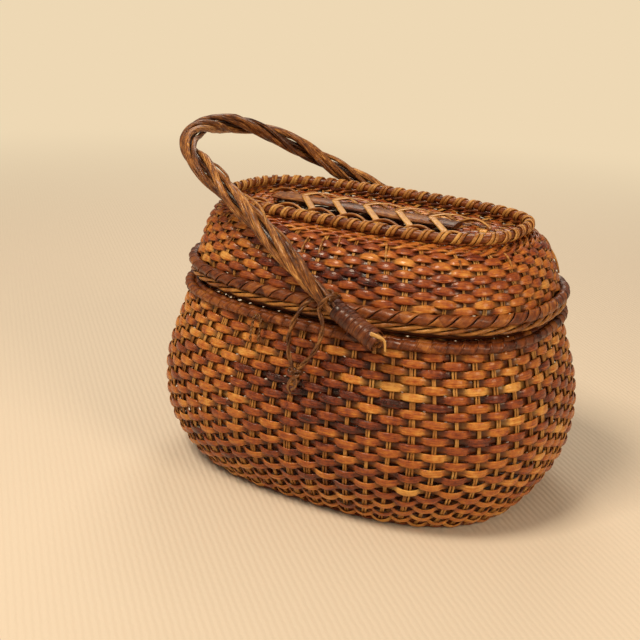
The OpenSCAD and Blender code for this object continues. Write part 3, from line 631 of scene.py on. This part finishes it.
class CREEL_OT_mouth_rim(Builder, bpy.types.Operator):
    """Wrap the two rods round the mouth with brown cane"""
    bl_idname = "creel.mouth_rim"
    bl_label = "Mouth rim"
    seed = 13

    def build(self):
        for name, inset, node, wraps in (("mouth_rim_outer", 0, "body_rim_outer_rod", 84),
                                         ("mouth_rim_inner", ROD_IN, "body_rim_inner_rod", 78)):
            shape = MOUTH[0] - inset, MOUTH[1] - inset, MOUTH[2]
            lines = wraps_round(shape, RIM_Z, RIM_R - 0.55, wraps, self.rng, -0.12)
            keep(strips(name, lines, 11.2, 1.3, WRAPPING, bump=0.25), "basket", "rim_cane", node)
        # the eye in front of the wall: how far across in half widths, how far out, and how high
        half, middle = 3.6, -37.0
        legs = [(-1, 121.6, 133.5), (-1, 122.6, 135.5), (-1, 119.6, 147), (-0.6, 119.3, 152.2),
                (0, 119.2, 153.8), (0.6, 119.3, 152.2), (1, 119.6, 147), (1, 122.4, 135.5), (1, 121.6, 133.5)]
        path = spline([(half * x + middle, -y, z) for x, y, z in legs], 48)
        lines = twisted(path, (0, -1, 0.2), 0.75, 6, 2, tint=0.55 + 0.3 * self.rng.random())
        keep(strips("cane_eye", lines, 1.3, 1.3, DARK, sides=6), "basket", "dark_cane", "body_cane_eye")


class CREEL_OT_hinges(Builder, bpy.types.Operator):
    """Make the cane loops and the short rods of the two back hinges"""
    bl_idname = "creel.hinges"
    bl_label = "Hinges"
    seed = 14

    def build(self):
        body_turn = np.linspace(-math.pi * 0.62, math.pi * 1.02, 26)
        lid_turn = np.linspace(math.pi * 1.55, -math.pi * 0.45, 26)[::-1][:22]
        body_leg = [(118.9, 150.5), (119.6, 143.5), (123.1, 132.0)]
        lid_leg = [(HINGE_Y - 1.4, HINGE_Z + 6.0), (114.9, 168.0), (114.75, 174.5)]
        radius = 3.15

        def loop(x, turn, leg):
            """One cane bent round the rod at x, with its leg laid along the wall."""
            bend = np.stack([HINGE_Y + radius * np.cos(turn), HINGE_Z + radius * np.sin(turn)], 1)
            yz = np.concatenate([bend, leg])
            p = spline(np.column_stack([np.full(len(yz), x), yz]), 46)
            return strand(p, (1, 0, 0), 0.35 + 0.4 * self.rng.random())
        body_loops, lid_loops, rods = [], [], []
        for mid in (-HINGE_X, HINGE_X):
            t = np.linspace(-1, 1, 24)
            rod = np.stack([mid + 12.4 * t, np.full_like(t, HINGE_Y), np.full_like(t, HINGE_Z)], 1)
            rods.append(strand(rod, UP, 0.45 + 0.3 * self.rng.random()))
            for offset in (-7.5, 7.5):
                for k in (-1, 0, 1):
                    body_loops.append(loop(mid + offset + 2.0 * k, body_turn, body_leg))
            for k in (-1.5, -0.5, 0.5, 1.5):
                lid_loops.append(loop(mid + 1.95 * k, lid_turn, lid_leg))
        keep(strips("hinge_rods_cane", rods, 4.0, 4.0, DARK, sides=14, bump=0.3),
             "basket", "dark_cane", "hinge_rods")
        keep(strips("body_loops_cane", body_loops, 1.7, 1.95, WRAPPING),
             "basket", "dark_cane", "body_hinge_loops")
        keep(strips("lid_loops_cane", lid_loops, 1.7, 1.9, WRAPPING), "lid", "dark_cane", "lid_hinge_loops")


class CREEL_OT_lid_weave(Builder, bpy.types.Operator):
    """Weave the dome of the lid and its sunk top"""
    bl_idname = "creel.lid_weave"
    bl_label = "Lid weave"
    seed = 21

    def build(self):
        size = self.size
        stakes = size.lid_stakes
        inset = 2.0
        skirt = ROLL[0] - ROLL_R - inset, ROLL[1] - ROLL_R - inset, ROLL[2]
        skirt_low, skirt_high = 161, 174

        def lid_tone(p):
            x, y, z = p.T
            return -0.24 * np.exp(-((x - 18) / 90) ** 2 - ((z - 186) / 16) ** 2) * (y < 0) - 0.05
        rings = [lambda s, z=z: level_ring(skirt, z, 0, s) for z in (162.3, 168.6)]
        steps = even_steps(lambda o: (dome_sizes(o)[1], dome_sizes(o)[3]), 1.0, 0.37, size.lid_rows)
        rings += [lambda s, o=o: dome_ring(o, inset, s) for o in steps]
        lines = woven_rows(rings, stakes, self.rng, lid_tone, leaf=0.32, taper=0.8)
        keep(strips("lid_weavers", lines, size.strip_width / MM * 1.02, size.strip_thickness / MM, PEEL,
                    depth=1.5, bump=0.35),
             "lid", "weave", "lid_wall")

        # below the top rim, pairs of thin reeds cross between the stakes and leave small dark gaps
        per = 10
        share = shares(stakes * per)
        pairs = []
        for j, o in enumerate((0.31, 0.205, 0.10)):
            for k in (0, 1):
                points, out = dome_ring(o, 1.6, share)
                ang = math.pi * (share * stakes + j * 0.5 + k)
                rise = np.cross(out, np.gradient(points, axis=0))
                rise /= np.linalg.norm(rise, axis=1)[:, None]
                rise *= np.sign(rise[:, 2:3])
                points = points + rise * (2.0 * np.sin(ang))[:, None] + out * np.cos(ang)[:, None]
                tint = 0.42 + 0.35 * np.repeat(self.rng.random(stakes), per)
                # lift only paints shade here, where a reed passes behind its partner
                pairs.append(strand(points, out, tint, 0.8 * np.cos(ang), 1 + 0.12 * np.cos(ang), True))
        path, out = level_ring((TOP[0] - 1.2, TOP[1] - 1.2, TOP[2]), 217.9, TOP_SHIFT, share)
        out = out + 0.3 * UP
        for k in (0, 1):
            ang = math.pi * (share * stakes + 0.25 + k)[:, None]
            tint = 0.3 + 0.3 * np.repeat(self.rng.random(stakes), per)
            # lift only paints shade here, where a reed passes behind its partner
            pairs.append(strand(path + UP * (0.9 * np.sin(ang)) + out * (0.9 * np.cos(ang)), out, tint,
                                np.cos(ang[:, 0]) * 0.8, closed=True))
        keep(strips("lid_twined_reeds", pairs, 2.8, 2.0, PEEL, sides=7), "lid", "weave")

        rings = [lambda s, q=q: panel_ring(q, s) for q in np.linspace(0.03, 0.9, 8)]
        lines = woven_rows(rings, stakes, self.rng, lambda p: np.full(len(p), -0.16), leaf=0.2, taper=0.5)
        keep(strips("lid_top_weavers", lines, 7.0, 1.1, PEEL, depth=1.0, bump=0.2),
             "lid", "weave", "lid_top_panel")

        skirt_end, dome_end, samples = 0.14, 0.66, 44

        def ring(t, one):
            """Where a stake runs: up the skirt, over the dome, and in over the sunk top."""
            if t < skirt_end:
                return level_ring(skirt, skirt_low + (skirt_high - skirt_low) * t / skirt_end, 0, one)
            if t < dome_end:
                return dome_ring((dome_end - t) / (dome_end - skirt_end), inset, one)
            return panel_ring((t - dome_end) / (1 - dome_end), one, z=PANEL_Z - 0.2)
        reeds = upright_reeds(column_of(ring), stakes, 1.25, self.rng, lambda p: 0, samples)
        for line in reeds:
            line["girth"] = np.linspace(1.0, 0.8, samples)
        # on about half of the stakes one reed lies over a few rows of weavers
        t = np.linspace(0, 1, 40)
        chance = 0.5
        for i in range(stakes):
            if self.rng.random() < chance:
                continue
            start = 0.95 - 0.4 * self.rng.random()
            place = i / stakes + 0.0016 * (self.rng.random() - 0.5)
            over = column_of(lambda o, one: dome_ring(o, inset - 1.9 - 0.9 * math.sin(11 * o + 1.7 * i), one))
            points, out = over(np.full_like(t, place), start - 0.24 * t)
            tint = 0.34 + 0.3 * self.rng.random() + 0.12 * np.sin(20 * t + i)
            reeds.append(strand(points, out, tint, lift=0.6, girth=1.3))
        keep(strips("lid_stakes", reeds, 1.35, 1.35, REED, sides=6), "lid", "light_cane")


class CREEL_OT_lid_edge(Builder, bpy.types.Operator):
    """Wrap the roll round the lid, twist the light rods under it and lay the hoop that seats it"""
    bl_idname = "creel.lid_edge"
    bl_label = "Lid edge"
    seed = 22

    def build(self):
        lines = wraps_round(ROLL, ROLL_Z, ROLL_R - 0.5, 31, self.rng, -0.06, per=44, starts=2)
        keep(strips("flange_roll", lines, 8.9, 2.1, WRAPPING, bump=0.3), "lid", "rim_cane", "lid_flange_roll")
        count, twists, strands, offset = 900, 17, 3, 2.15
        share = shares(count)
        path, out = level_ring(ROLL, sum(EDGE_Z) / 2, 0, share)
        lines = []
        for k in range(strands):
            ang = (share * TAU * twists + k * TAU / strands)[:, None]
            away = 0.85 * np.cos(ang) * out + np.sin(ang) * UP
            tone = 0.30 + 0.20 * drifting(count, self.rng, (7, 11, 19, 31)) + 0.1 * self.rng.normal()
            # lift only paints shade here: dark in the grooves, where a strand turns in behind the others
            lines.append(strand(path + offset * away, away, np.clip(tone, 0.1, 0.95),
                                np.cos(ang)[:, 0] * 1.1 - 0.1, closed=True))
        keep(strips("edge_rope", lines, 3.3, 2.5, LASHING, sides=10, bump=0.3),
             "lid", "light_cane", "lid_edge_rod_upper", "lid_edge_rod_lower")
        share = shares(360)
        inset = ROLL_R + 1.5 + LID_T / 2
        path, out = level_ring((ROLL[0] - inset, ROLL[1] - inset, ROLL[2]), SEAT_Z, 0, share)
        hoop = strand(path, out, 0.3 + 0.1 * np.sin(share * TAU * 5), closed=True)
        keep(strips("seat_hoop", [hoop], 5.5, 5.5, WRAPPING, sides=14, bump=0.4),
             "lid", "rim_cane", "lid_seat_hoop")


class CREEL_OT_top_rim(Builder, bpy.types.Operator):
    """Lay the rod round the lid's top and lash it with pale cane"""
    bl_idname = "creel.top_rim"
    bl_label = "Top rim"
    seed = 23

    def build(self):
        share = shares(440)
        rod = strand(*level_ring(TOP, TOP_Z, TOP_SHIFT, share), 0.40 + 0.12 * np.sin(share * TAU * 13), 0.3,
                     closed=True)
        keep(strips("top_rim_rod", [rod], TOP_R * 2, TOP_R * 2, WRAPPING, sides=16, bump=0.5),
             "lid", "rim_cane", "lid_top_rim_rod")
        turns, per = self.size.rim_lashes, 26
        # two thin strips side by side; the turns crowd towards the right end, where room ran out
        even = shares(turns * per)
        path, out = level_ring(TOP, TOP_Z, TOP_SHIFT, even + 0.0192 * np.sin(even * TAU))
        lines = []
        for k in range(2):
            ang = even * TAU * turns + 1.7 * k
            away = around(ang, out, UP)
            tint = 0.24 + 0.44 * np.repeat(self.rng.random(turns), per)
            # lift only paints shade here: darker on the inner side of each turn
            lines.append(strand(path + (TOP_R + 0.75) * away, away, tint, 0.5 + 0.5 * np.cos(ang - 0.4),
                                closed=True))
        keep(strips("top_rim_lashing", lines, 2.7, 1.4, LASHING), "lid", "light_cane", "lid_top_rim_lashing")


class CREEL_OT_ridge(Builder, bpy.types.Operator):
    """Set the brown slat over the slot, tie it down and turn the stake ends into scallops"""
    bl_idname = "creel.ridge"
    bl_label = "Ridge"
    seed = 24

    def build(self):
        t = np.linspace(0, 1, 60)
        path = np.stack([-98 + 168 * t, 3 + 0.8 * np.sin(t * 5), 218.2 + 0.3 * np.sin(t * 7)], 1)
        slat = strand(path, UP, 0.45 + 0.2 * np.sin(t * 11), 0.5, 0.94 + 0.06 * np.cos(t * 9))
        keep(strips("ridge_slat", [slat], 21, 5.0, SLAT, sides=20, bump=0.9, bump_mm=7),
             "lid", "slat", "ridge_bar")
        step = 29.5
        first = SLOT_MID[0] - step * 2 + 6
        ties, front, back = [], [], []
        t = np.linspace(0, 1, 20)[:, None]
        # from the fold of a tie: along the slat, across it, and height
        bow = (-0.8, -0.6, 222.4), (2.5, 6, 223.0), (9, 14, 223.2), (18, 20, 221.6), (27, 24, 218.0)
        for i in range(5):
            joint = first + i * step + step * 0.45 + 4
            apex = joint - 20.5
            foot, root = np.array([(joint + 7, -33, 216.4), (joint + 2.5, -26, 219.4)])
            fold = np.array([apex, 0.5, 222.0])
            lower = np.concatenate([foot + (root - foot) * t[:-1:4], root + (fold - root) * t])
            upper = spline([(apex + x, y, z) for x, y, z in bow], 26)
            for p, tint, girth in ((lower, 0.56, 1.2), (upper, 0.5, np.linspace(0.95, 0.5, 26))):
                ties.append(strand(p, frames_along(p, UP)[1], tint + 0.2 * self.rng.random(), 0.7, girth))
        t = np.linspace(0, 1, 22)
        arch = np.sin(math.pi * t)
        for i in range(-1, 6):
            x = first + (i - 1) * step + step * 0.45 + 1.2 + (step + 1.5) * t
            for k in range(5):
                for reeds, shift, y in ((front, 0, -35.0 + 0.9 * k), (back, 5, 16.8 + 0.6 * k)):
                    z = 216.0 + (2.2 + 0.675 * k) * arch
                    p = np.stack([x - shift, y + (11.5 - 2.3 * k) * arch, z], 1)
                    reeds.append(strand(p, UP, 0.35 + 0.5 * self.rng.random(), 0.5))
        keep(strips("ridge_tie_strips", ties, 5.2, 1.1, LASHING), "lid", "light_cane", "ridge_ties")
        for name, reeds in (("scallops_front", front), ("scallops_back", back)):
            keep(strips(name + "_reeds", reeds, 2.6, 1.7, REED, sides=7), "lid", "light_cane", name)


# the handle's route: across, along the lean and above it, as shares of its size
ROUTE = [(-1, 0, 0), (-0.98, 0.15, 4), (-0.93, 0.3, 5), (-0.87, 0.46, 7), (-0.82, 0.61, 6), (-0.76, 0.75, 6),
         (-0.64, 0.87, 2), (-0.5, 0.95, 1), (-0.27, 1, 1), (0, 1, 0), (0.27, 0.93, 0), (0.47, 0.77, 0),
         (0.61, 0.58, 0), (0.72, 0.43, 0), (0.84, 0.28, 0), (0.93, 0.14, 0), (1, 0, 0)]
LEAN = math.radians(BAIL_LEAN)
LEAN_DIR = np.array([-math.sin(LEAN), 0, math.cos(LEAN)])
LEAN_UP = np.array([math.cos(LEAN), 0, math.sin(LEAN)])
PIVOT = np.array([BAIL_X, -BAIL_Y, BAIL_Z])
PITCH, YAW = math.radians(22), math.radians(8.5)
TAIL_DIR = np.array([math.cos(PITCH) * math.cos(YAW), -math.sin(YAW), -math.sin(PITCH) * math.cos(YAW)])
TAIL_SIDE = np.cross(TAIL_DIR, UP)
TAIL_SIDE /= np.linalg.norm(TAIL_SIDE)
TAIL_TOP = np.cross(TAIL_SIDE, TAIL_DIR)
TAIL_LEN, CORE_R = 52.0, 6.4


def handle_route(count):
    """The middle of the bundle, from its cut end past the front pivot and over to the back pivot."""
    bow = [np.array([BAIL_X, across * BAIL_Y, BAIL_Z]) + along * BAIL_REACH * LEAN_DIR + above * LEAN_UP
           for across, along, above in ROUTE]
    tail = [PIVOT + TAIL_DIR * d for d in (TAIL_LEN, 36, 18)]
    p = spline(np.array(tail + bow), 400)
    way = way_along(p)
    even = np.linspace(0, way[-1], count)
    return np.stack([np.interp(even, way, p[:, i]) for i in range(3)], 1), even


class CREEL_OT_handle(Builder, bpy.types.Operator):
    """Twist the vines of the handle"""
    bl_idname = "creel.handle"
    bl_label = "Handle"
    seed = 31

    def build(self):
        count = 240
        middle, way = handle_route(count)
        total = way[-1]
        u, v = frames_along(middle, LEAN_UP + np.array([0.02, 0, 0]))[1:]
        # packed tight under the binding and at the far end, loose over the bow
        loose = np.clip(np.minimum((way - 50) / 60, (total - way) / 40), 0, 1)
        loose = loose * loose * (3 - 2 * loose)
        spread = 3.8 + 1.85 * loose
        turns, tight = 4.4, 2.35
        for k, thick in enumerate((2.75, 2.05, 2.85, 1.95, 2.45)):
            away = around(k * TAU / 5 + turns * TAU * way / total + 0.35 * np.sin(way / 70 + k * 2), u, v)
            sway = 1 + 0.10 * loose * np.sin(way / 31 + k * 1.7)
            radius = (tight + (thick - tight) * loose) * (1 + 0.05 * np.sin(way / 23 + 2.2 * k))
            tint = np.clip(0.38 + 0.3 * self.rng.random() + 0.12 * np.sin(way / 37 + k), 0, 1)
            line = strand(middle + (spread * sway)[:, None] * away, away, tint, 0.5, radius / 3)
            keep(strips("vine_%d" % (k + 1), [line], 6.0, 5.6, VINE, sides=20, bump=2.0, bump_mm=26,
                        ridges=1.9, seed=float(k)),
                 "bail", "vine", "bail_vine_%d" % (k + 1))
        # its low lift paints some shade on the heart, where it shows between the vines
        heart = strand(middle, u, 0.2, -0.1, 0.75 + 0.1 * loose)
        keep(strips("handle_heart", [heart], 5.6, 5.6, VINE, sides=10, bump=0.6, bump_mm=8),
             "bail", "vine", "bail_end_front", "bail_end_back")
        thin = []
        for k, (start, stop, coil, first) in enumerate(((0.30, 0.62, 8.6, 0.4), (0.16, 0.5, 8.2, 3.0),
                                                      (0.55, 0.93, 7.9, 5.0), (0.22, 0.40, 8.8, 1.8))):
            pick = slice(int(start * count), int(stop * count))
            w = way[pick]
            fade = np.clip(np.minimum(w - w[0], w[-1] - w) / 14, 0, 1)
            radius = coil - 3.2 * (1 - fade) + 0.7 * np.sin(w / 15 + k)
            p = middle[pick] + radius[:, None] * around(first + 3.1 * TAU * w / total, u[pick], v[pick])
            thin.append(strand(p, u[pick], 0.55 + 0.3 * self.rng.random(), 0.6, 0.7 + 0.3 * fade))
        keep(strips("handle_thin_vines", thin, 2.4, 2.2, VINE, bump=0.3), "bail", "vine", "bail_thin_vine")

        # a short lashing closes the far end, and the pegs stand in for the lashing that lets each leg turn
        end = spline(middle[-14:], 120)
        keep(strips("far_end_binding", [strand(*coiled(end, LEAN_UP, 7.4, 5), 0.4, 0.5)], 3.6, 1.2, WRAPPING),
             "bail", "binding")
        for name in ("bail_peg_front", "bail_peg_back"):
            low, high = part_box(name)
            y = np.linspace(low.y, high.y, 30) / MM
            lines = twisted(np.stack([np.full(30, BAIL_X), y, np.full(30, BAIL_Z)], 1), UP, 1.15, 2.5, 3)
            for k, line in enumerate(lines):
                line["tint"] = 0.45 + 0.2 * k / 3
            keep(strips(name + "_cane", lines, 2.4, 2.4, DARK), "lid", "dark_cane", name)


class CREEL_OT_binding(Builder, bpy.types.Operator):
    """Bind the front end of the handle with flat cane"""
    bl_idname = "creel.binding"
    bl_label = "Binding"
    seed = 32

    def build(self):
        turns, per, first, last = 9, 40, 8.5, 50.0
        d = np.linspace(first, last, turns * per)
        out = around(np.linspace(0, turns * TAU, turns * per) + 1.0, TAIL_SIDE, TAIL_TOP)
        reach = CORE_R + 0.75 + 0.25 * np.sin(d / 3.1)
        points = PIVOT + d[:, None] * TAIL_DIR + reach[:, None] * out
        line = strand(points, out, 0.28 + 0.34 * np.repeat(self.rng.random(turns), per), 0.5)
        keep(strips("front_binding", [line], 5.0, 1.2, BLACKENED, sides=10, bump=0.4),
             "bail", "binding", "bail_binding")
        end = points[-1]
        path = spline([end + along * TAIL_DIR + side * TAIL_SIDE + top * TAIL_TOP for along, side, top in (
            (-4, 2.2, 0), (2, 1.5, 1.5), (7, 0, 1), (11, 0.5, -5))], 24)
        loose = strand(path, frames_along(path, TAIL_SIDE)[1], 0.85, 0.7, np.linspace(1, 0.55, 24))
        keep(strips("binding_cut_end", [loose], 3.4, 1.2, LASHING), "bail", "binding")


class CREEL_OT_tie(Builder, bpy.types.Operator):
    """Hang the dark twisted tie on the front leg, with its knot"""
    bl_idname = "creel.tie"
    bl_label = "Tie"
    seed = 33

    def build(self):
        hook_r = CORE_R + 1.1 + 0.45

        def hook(s, deg):
            """Round the bound end: s along it and at this angle."""
            a = math.radians(deg)
            return s * TAIL_DIR + (hook_r + 0.5) * (math.cos(a) * TAIL_SIDE + math.sin(a) * TAIL_TOP)
        knot = np.array([-20.0, -7.0, -58.0])
        route = [knot + (2.4, 0, 3), knot + (4, 0, 6.2), (-4, -7, -36), (2, -8, -17), hook(0, -40),
                 hook(1, 0), hook(2, 45), hook(2.5, 90), hook(1, 135), (-4, 8.2, 5.5), (-12, 8.6, -1),
                 (-20, 4, -6), (-24, -1, -14), (-28, -4, -27), (-28, -5, -42), knot + (-4, 0.6, 6.2),
                 knot + (-2.4, 0, 3)]
        lines = twisted(PIVOT + spline(np.array(route), 260), (0.2, 1, 0.1), 0.9, 6, 2,
                        tint=0.5 + 0.3 * np.sin(np.linspace(0, 30, 260)) ** 2, lift=0.6)
        keep(strips("tie_twisted_loop", lines, 2.1, 1.9, DARK), "bail", "dark_cane", "tie_loop")
        # the knot: two turns that go over and under each other, with two short tails
        t = np.linspace(0, TAU, 150)
        turn = np.stack([2.6 * np.sin(t) + 3.1 * np.sin(2 * t), 1.9 * np.sin(3 * t) - 0.4,
                         2.4 * np.cos(t) - 3.0 * np.cos(2 * t)], 1)
        other = np.stack([3.0 * np.sin(2 * t + 0.6), 2.2 * np.cos(3 * t) - 0.6,
                          4.2 * np.cos(t + 0.4) - 2.5], 1)
        tails = [spline(knot + np.array(way), 40) for way in (
            [(1, -1, -1), (-3, -2.5, -6), (-5.5, -1, -12), (-4, 0.5, -17)],
            [(0, -1, -1), (2.4, -2.6, -5), (1.0, -1.6, -10), (-2.5, -0.6, -13.5)])]
        thinner = np.linspace(1.1, 0.7, 40)
        lines = []
        for path, tint, girth in ((knot + turn, 0.4, 1.0), (knot + other, 0.6, 1.0),
                                  (tails[0], 0.7, thinner), (tails[1], 0.7, thinner)):
            path = PIVOT + path
            lines.append(strand(path, frames_along(path, (0.1, 1, 0.2))[1], tint, 0.6, girth))
        keep(strips("tie_knot_strands", lines, 2.8, 2.1, DARK), "bail", "dark_cane", "tie_knot")


class CREEL_OT_stage(Builder, bpy.types.Operator):
    """Set the pale table, the soft lamps and the camera"""
    bl_idname = "creel.stage"
    bl_label = "Stage"

    def build(self):
        scene = bpy.context.scene
        reach = 6.0
        corners = [(-reach, -reach, 0), (reach, -reach, 0), (reach, reach, 0), (-reach, reach, 0)]
        mesh = bpy.data.meshes.new("table")
        mesh.from_pydata(corners, [], [(0, 1, 2, 3)])
        placed("table", mesh)
        # cotton cloth: pale, matt, with a faint cross rib every 5 mm
        cloth = bpy.data.materials.new("Ribbed cotton cloth")
        cloth.use_nodes = True
        tree = cloth.node_tree
        shader = tree.nodes["Principled BSDF"]
        where = add(tree, "ShaderNodeTexCoord").outputs["Object"]
        turned = add(tree, "ShaderNodeMapping", {"Vector": where, "Rotation": (0, 0, math.radians(-47))})
        rib = add(tree, "ShaderNodeTexWave", {"Vector": turned, "Scale": 62.0, "Distortion": 1.5,
                                              "Detail": 2.0, "Detail Scale": 2.0}).outputs["Fac"]
        bump = add(tree, "ShaderNodeBump", {"Height": rib, "Strength": 0.3, "Distance": 0.001})
        tree.links.new(bump.outputs[0], shader.inputs["Normal"])
        shader.inputs["Base Color"].default_value = tuple(self.colour.table)
        shader.inputs["Roughness"].default_value = 0.9
        # far from the basket the cloth fades into the backdrop, for what the camera sees
        far = add(tree, "ShaderNodeVectorMath", {0: where}, operation="LENGTH").outputs["Value"]
        fade = add(tree, "ShaderNodeMapRange", {"Value": far, "From Min": 0.55, "From Max": 1.9},
                   interpolation_type="SMOOTHSTEP")
        ray = add(tree, "ShaderNodeLightPath").outputs["Is Camera Ray"]
        seen = add(tree, "ShaderNodeMath", {0: fade, 1: ray}, operation="MULTIPLY")
        glow = add(tree, "ShaderNodeEmission", {"Color": tuple(self.colour.backdrop), "Strength": 1.0})
        mixed = add(tree, "ShaderNodeMixShader", {0: seen, 1: shader, 2: glow})
        tree.links.new(mixed.outputs[0], tree.nodes["Material Output"].inputs["Surface"])
        mesh.materials.append(cloth)

        world = bpy.data.worlds.new("Pale room")
        scene.world = world
        world.use_nodes = True
        tree = world.node_tree
        tree.nodes.clear()
        room = add(tree, "ShaderNodeBackground", {"Color": linear("#F0E2CE"), "Strength": 0.36})
        shown = add(tree, "ShaderNodeBackground", {"Color": tuple(self.colour.backdrop), "Strength": 1.0})
        ray = add(tree, "ShaderNodeLightPath").outputs["Is Camera Ray"]
        mixed = add(tree, "ShaderNodeMixShader", {0: ray, 1: room, 2: shown})
        add(tree, "ShaderNodeOutputWorld", {"Surface": mixed})

        aim = Vector((0, 0, 0.12))
        for name, spot, power, wide, tint in (
                ("key", (-0.35, -1.0, 1.7), 30.0, 0.6, "#FFEBCF"),
                ("side", (1.5, -0.5, 0.9), 11.0, 0.6, "#FFE3BF"),
                ("back", (-0.6, 1.3, 1.3), 9.0, 0.8, "#FFF1DE")):
            lamp = bpy.data.lights.new(name, "AREA")
            lamp.energy, lamp.size, lamp.color = power, wide, linear(tint)[:3]
            holder = placed(name, lamp)
            holder.location = spot
            holder.rotation_euler = (aim - Vector(spot)).to_track_quat("-Z", "Y").to_euler()

        # the camera as fitted to the photograph: its focal length in pixels of a picture 640 wide
        focal, picture, film = 1100, 640, 36.0
        view = bpy.data.cameras.new("photo_view")
        view.sensor_width, view.lens, view.clip_start = film, focal / picture * film, 0.05
        scene.camera = placed("photo_view", view)
        right, up, back = (0.8613, 0.506, 0.0456), (-0.1967, 0.2494, 0.9482), (0.4685, -0.8257, 0.3143)
        turn = Matrix((right, up, back)).transposed().to_quaternion().to_matrix().to_4x4()
        scene.camera.matrix_world = Matrix.Translation((0.3970, -0.7870, 0.4151)) @ turn
        scene.view_settings.view_transform = "Standard"


STEPS = (CREEL_OT_body_weave, CREEL_OT_body_base, CREEL_OT_mouth_rim, CREEL_OT_hinges, CREEL_OT_lid_weave,
         CREEL_OT_lid_edge, CREEL_OT_top_rim, CREEL_OT_ridge, CREEL_OT_handle, CREEL_OT_binding, CREEL_OT_tie,
         CREEL_OT_stage)


class CREEL_PT_panel(bpy.types.Panel):
    """Settings and steps of the creel"""
    bl_label = "Creel"
    bl_idname = "CREEL_PT_panel"
    bl_space_type = "VIEW_3D"
    bl_region_type = "UI"
    bl_category = "Creel"

    def draw(self, context):
        for group in (context.scene.creel_sizes, context.scene.creel_colours):
            for key in group.__annotations__:
                self.layout.prop(group, key)
        for step in STEPS:
            self.layout.operator(step.bl_idname)


CLASSES = (CreelSizes, CreelColours) + STEPS + (CREEL_PT_panel,)


def register():
    for one in CLASSES:
        bpy.utils.register_class(one)
    bpy.types.Scene.creel_sizes = PointerProperty(type=CreelSizes)
    bpy.types.Scene.creel_colours = PointerProperty(type=CreelColours)


def unregister():
    del bpy.types.Scene.creel_sizes
    del bpy.types.Scene.creel_colours
    for one in reversed(CLASSES):
        bpy.utils.unregister_class(one)


def main():
    register()
    for step in STEPS:
        group, call = step.bl_idname.split(".")
        getattr(getattr(bpy.ops, group), call)()


if __name__ == "__main__":
    main()
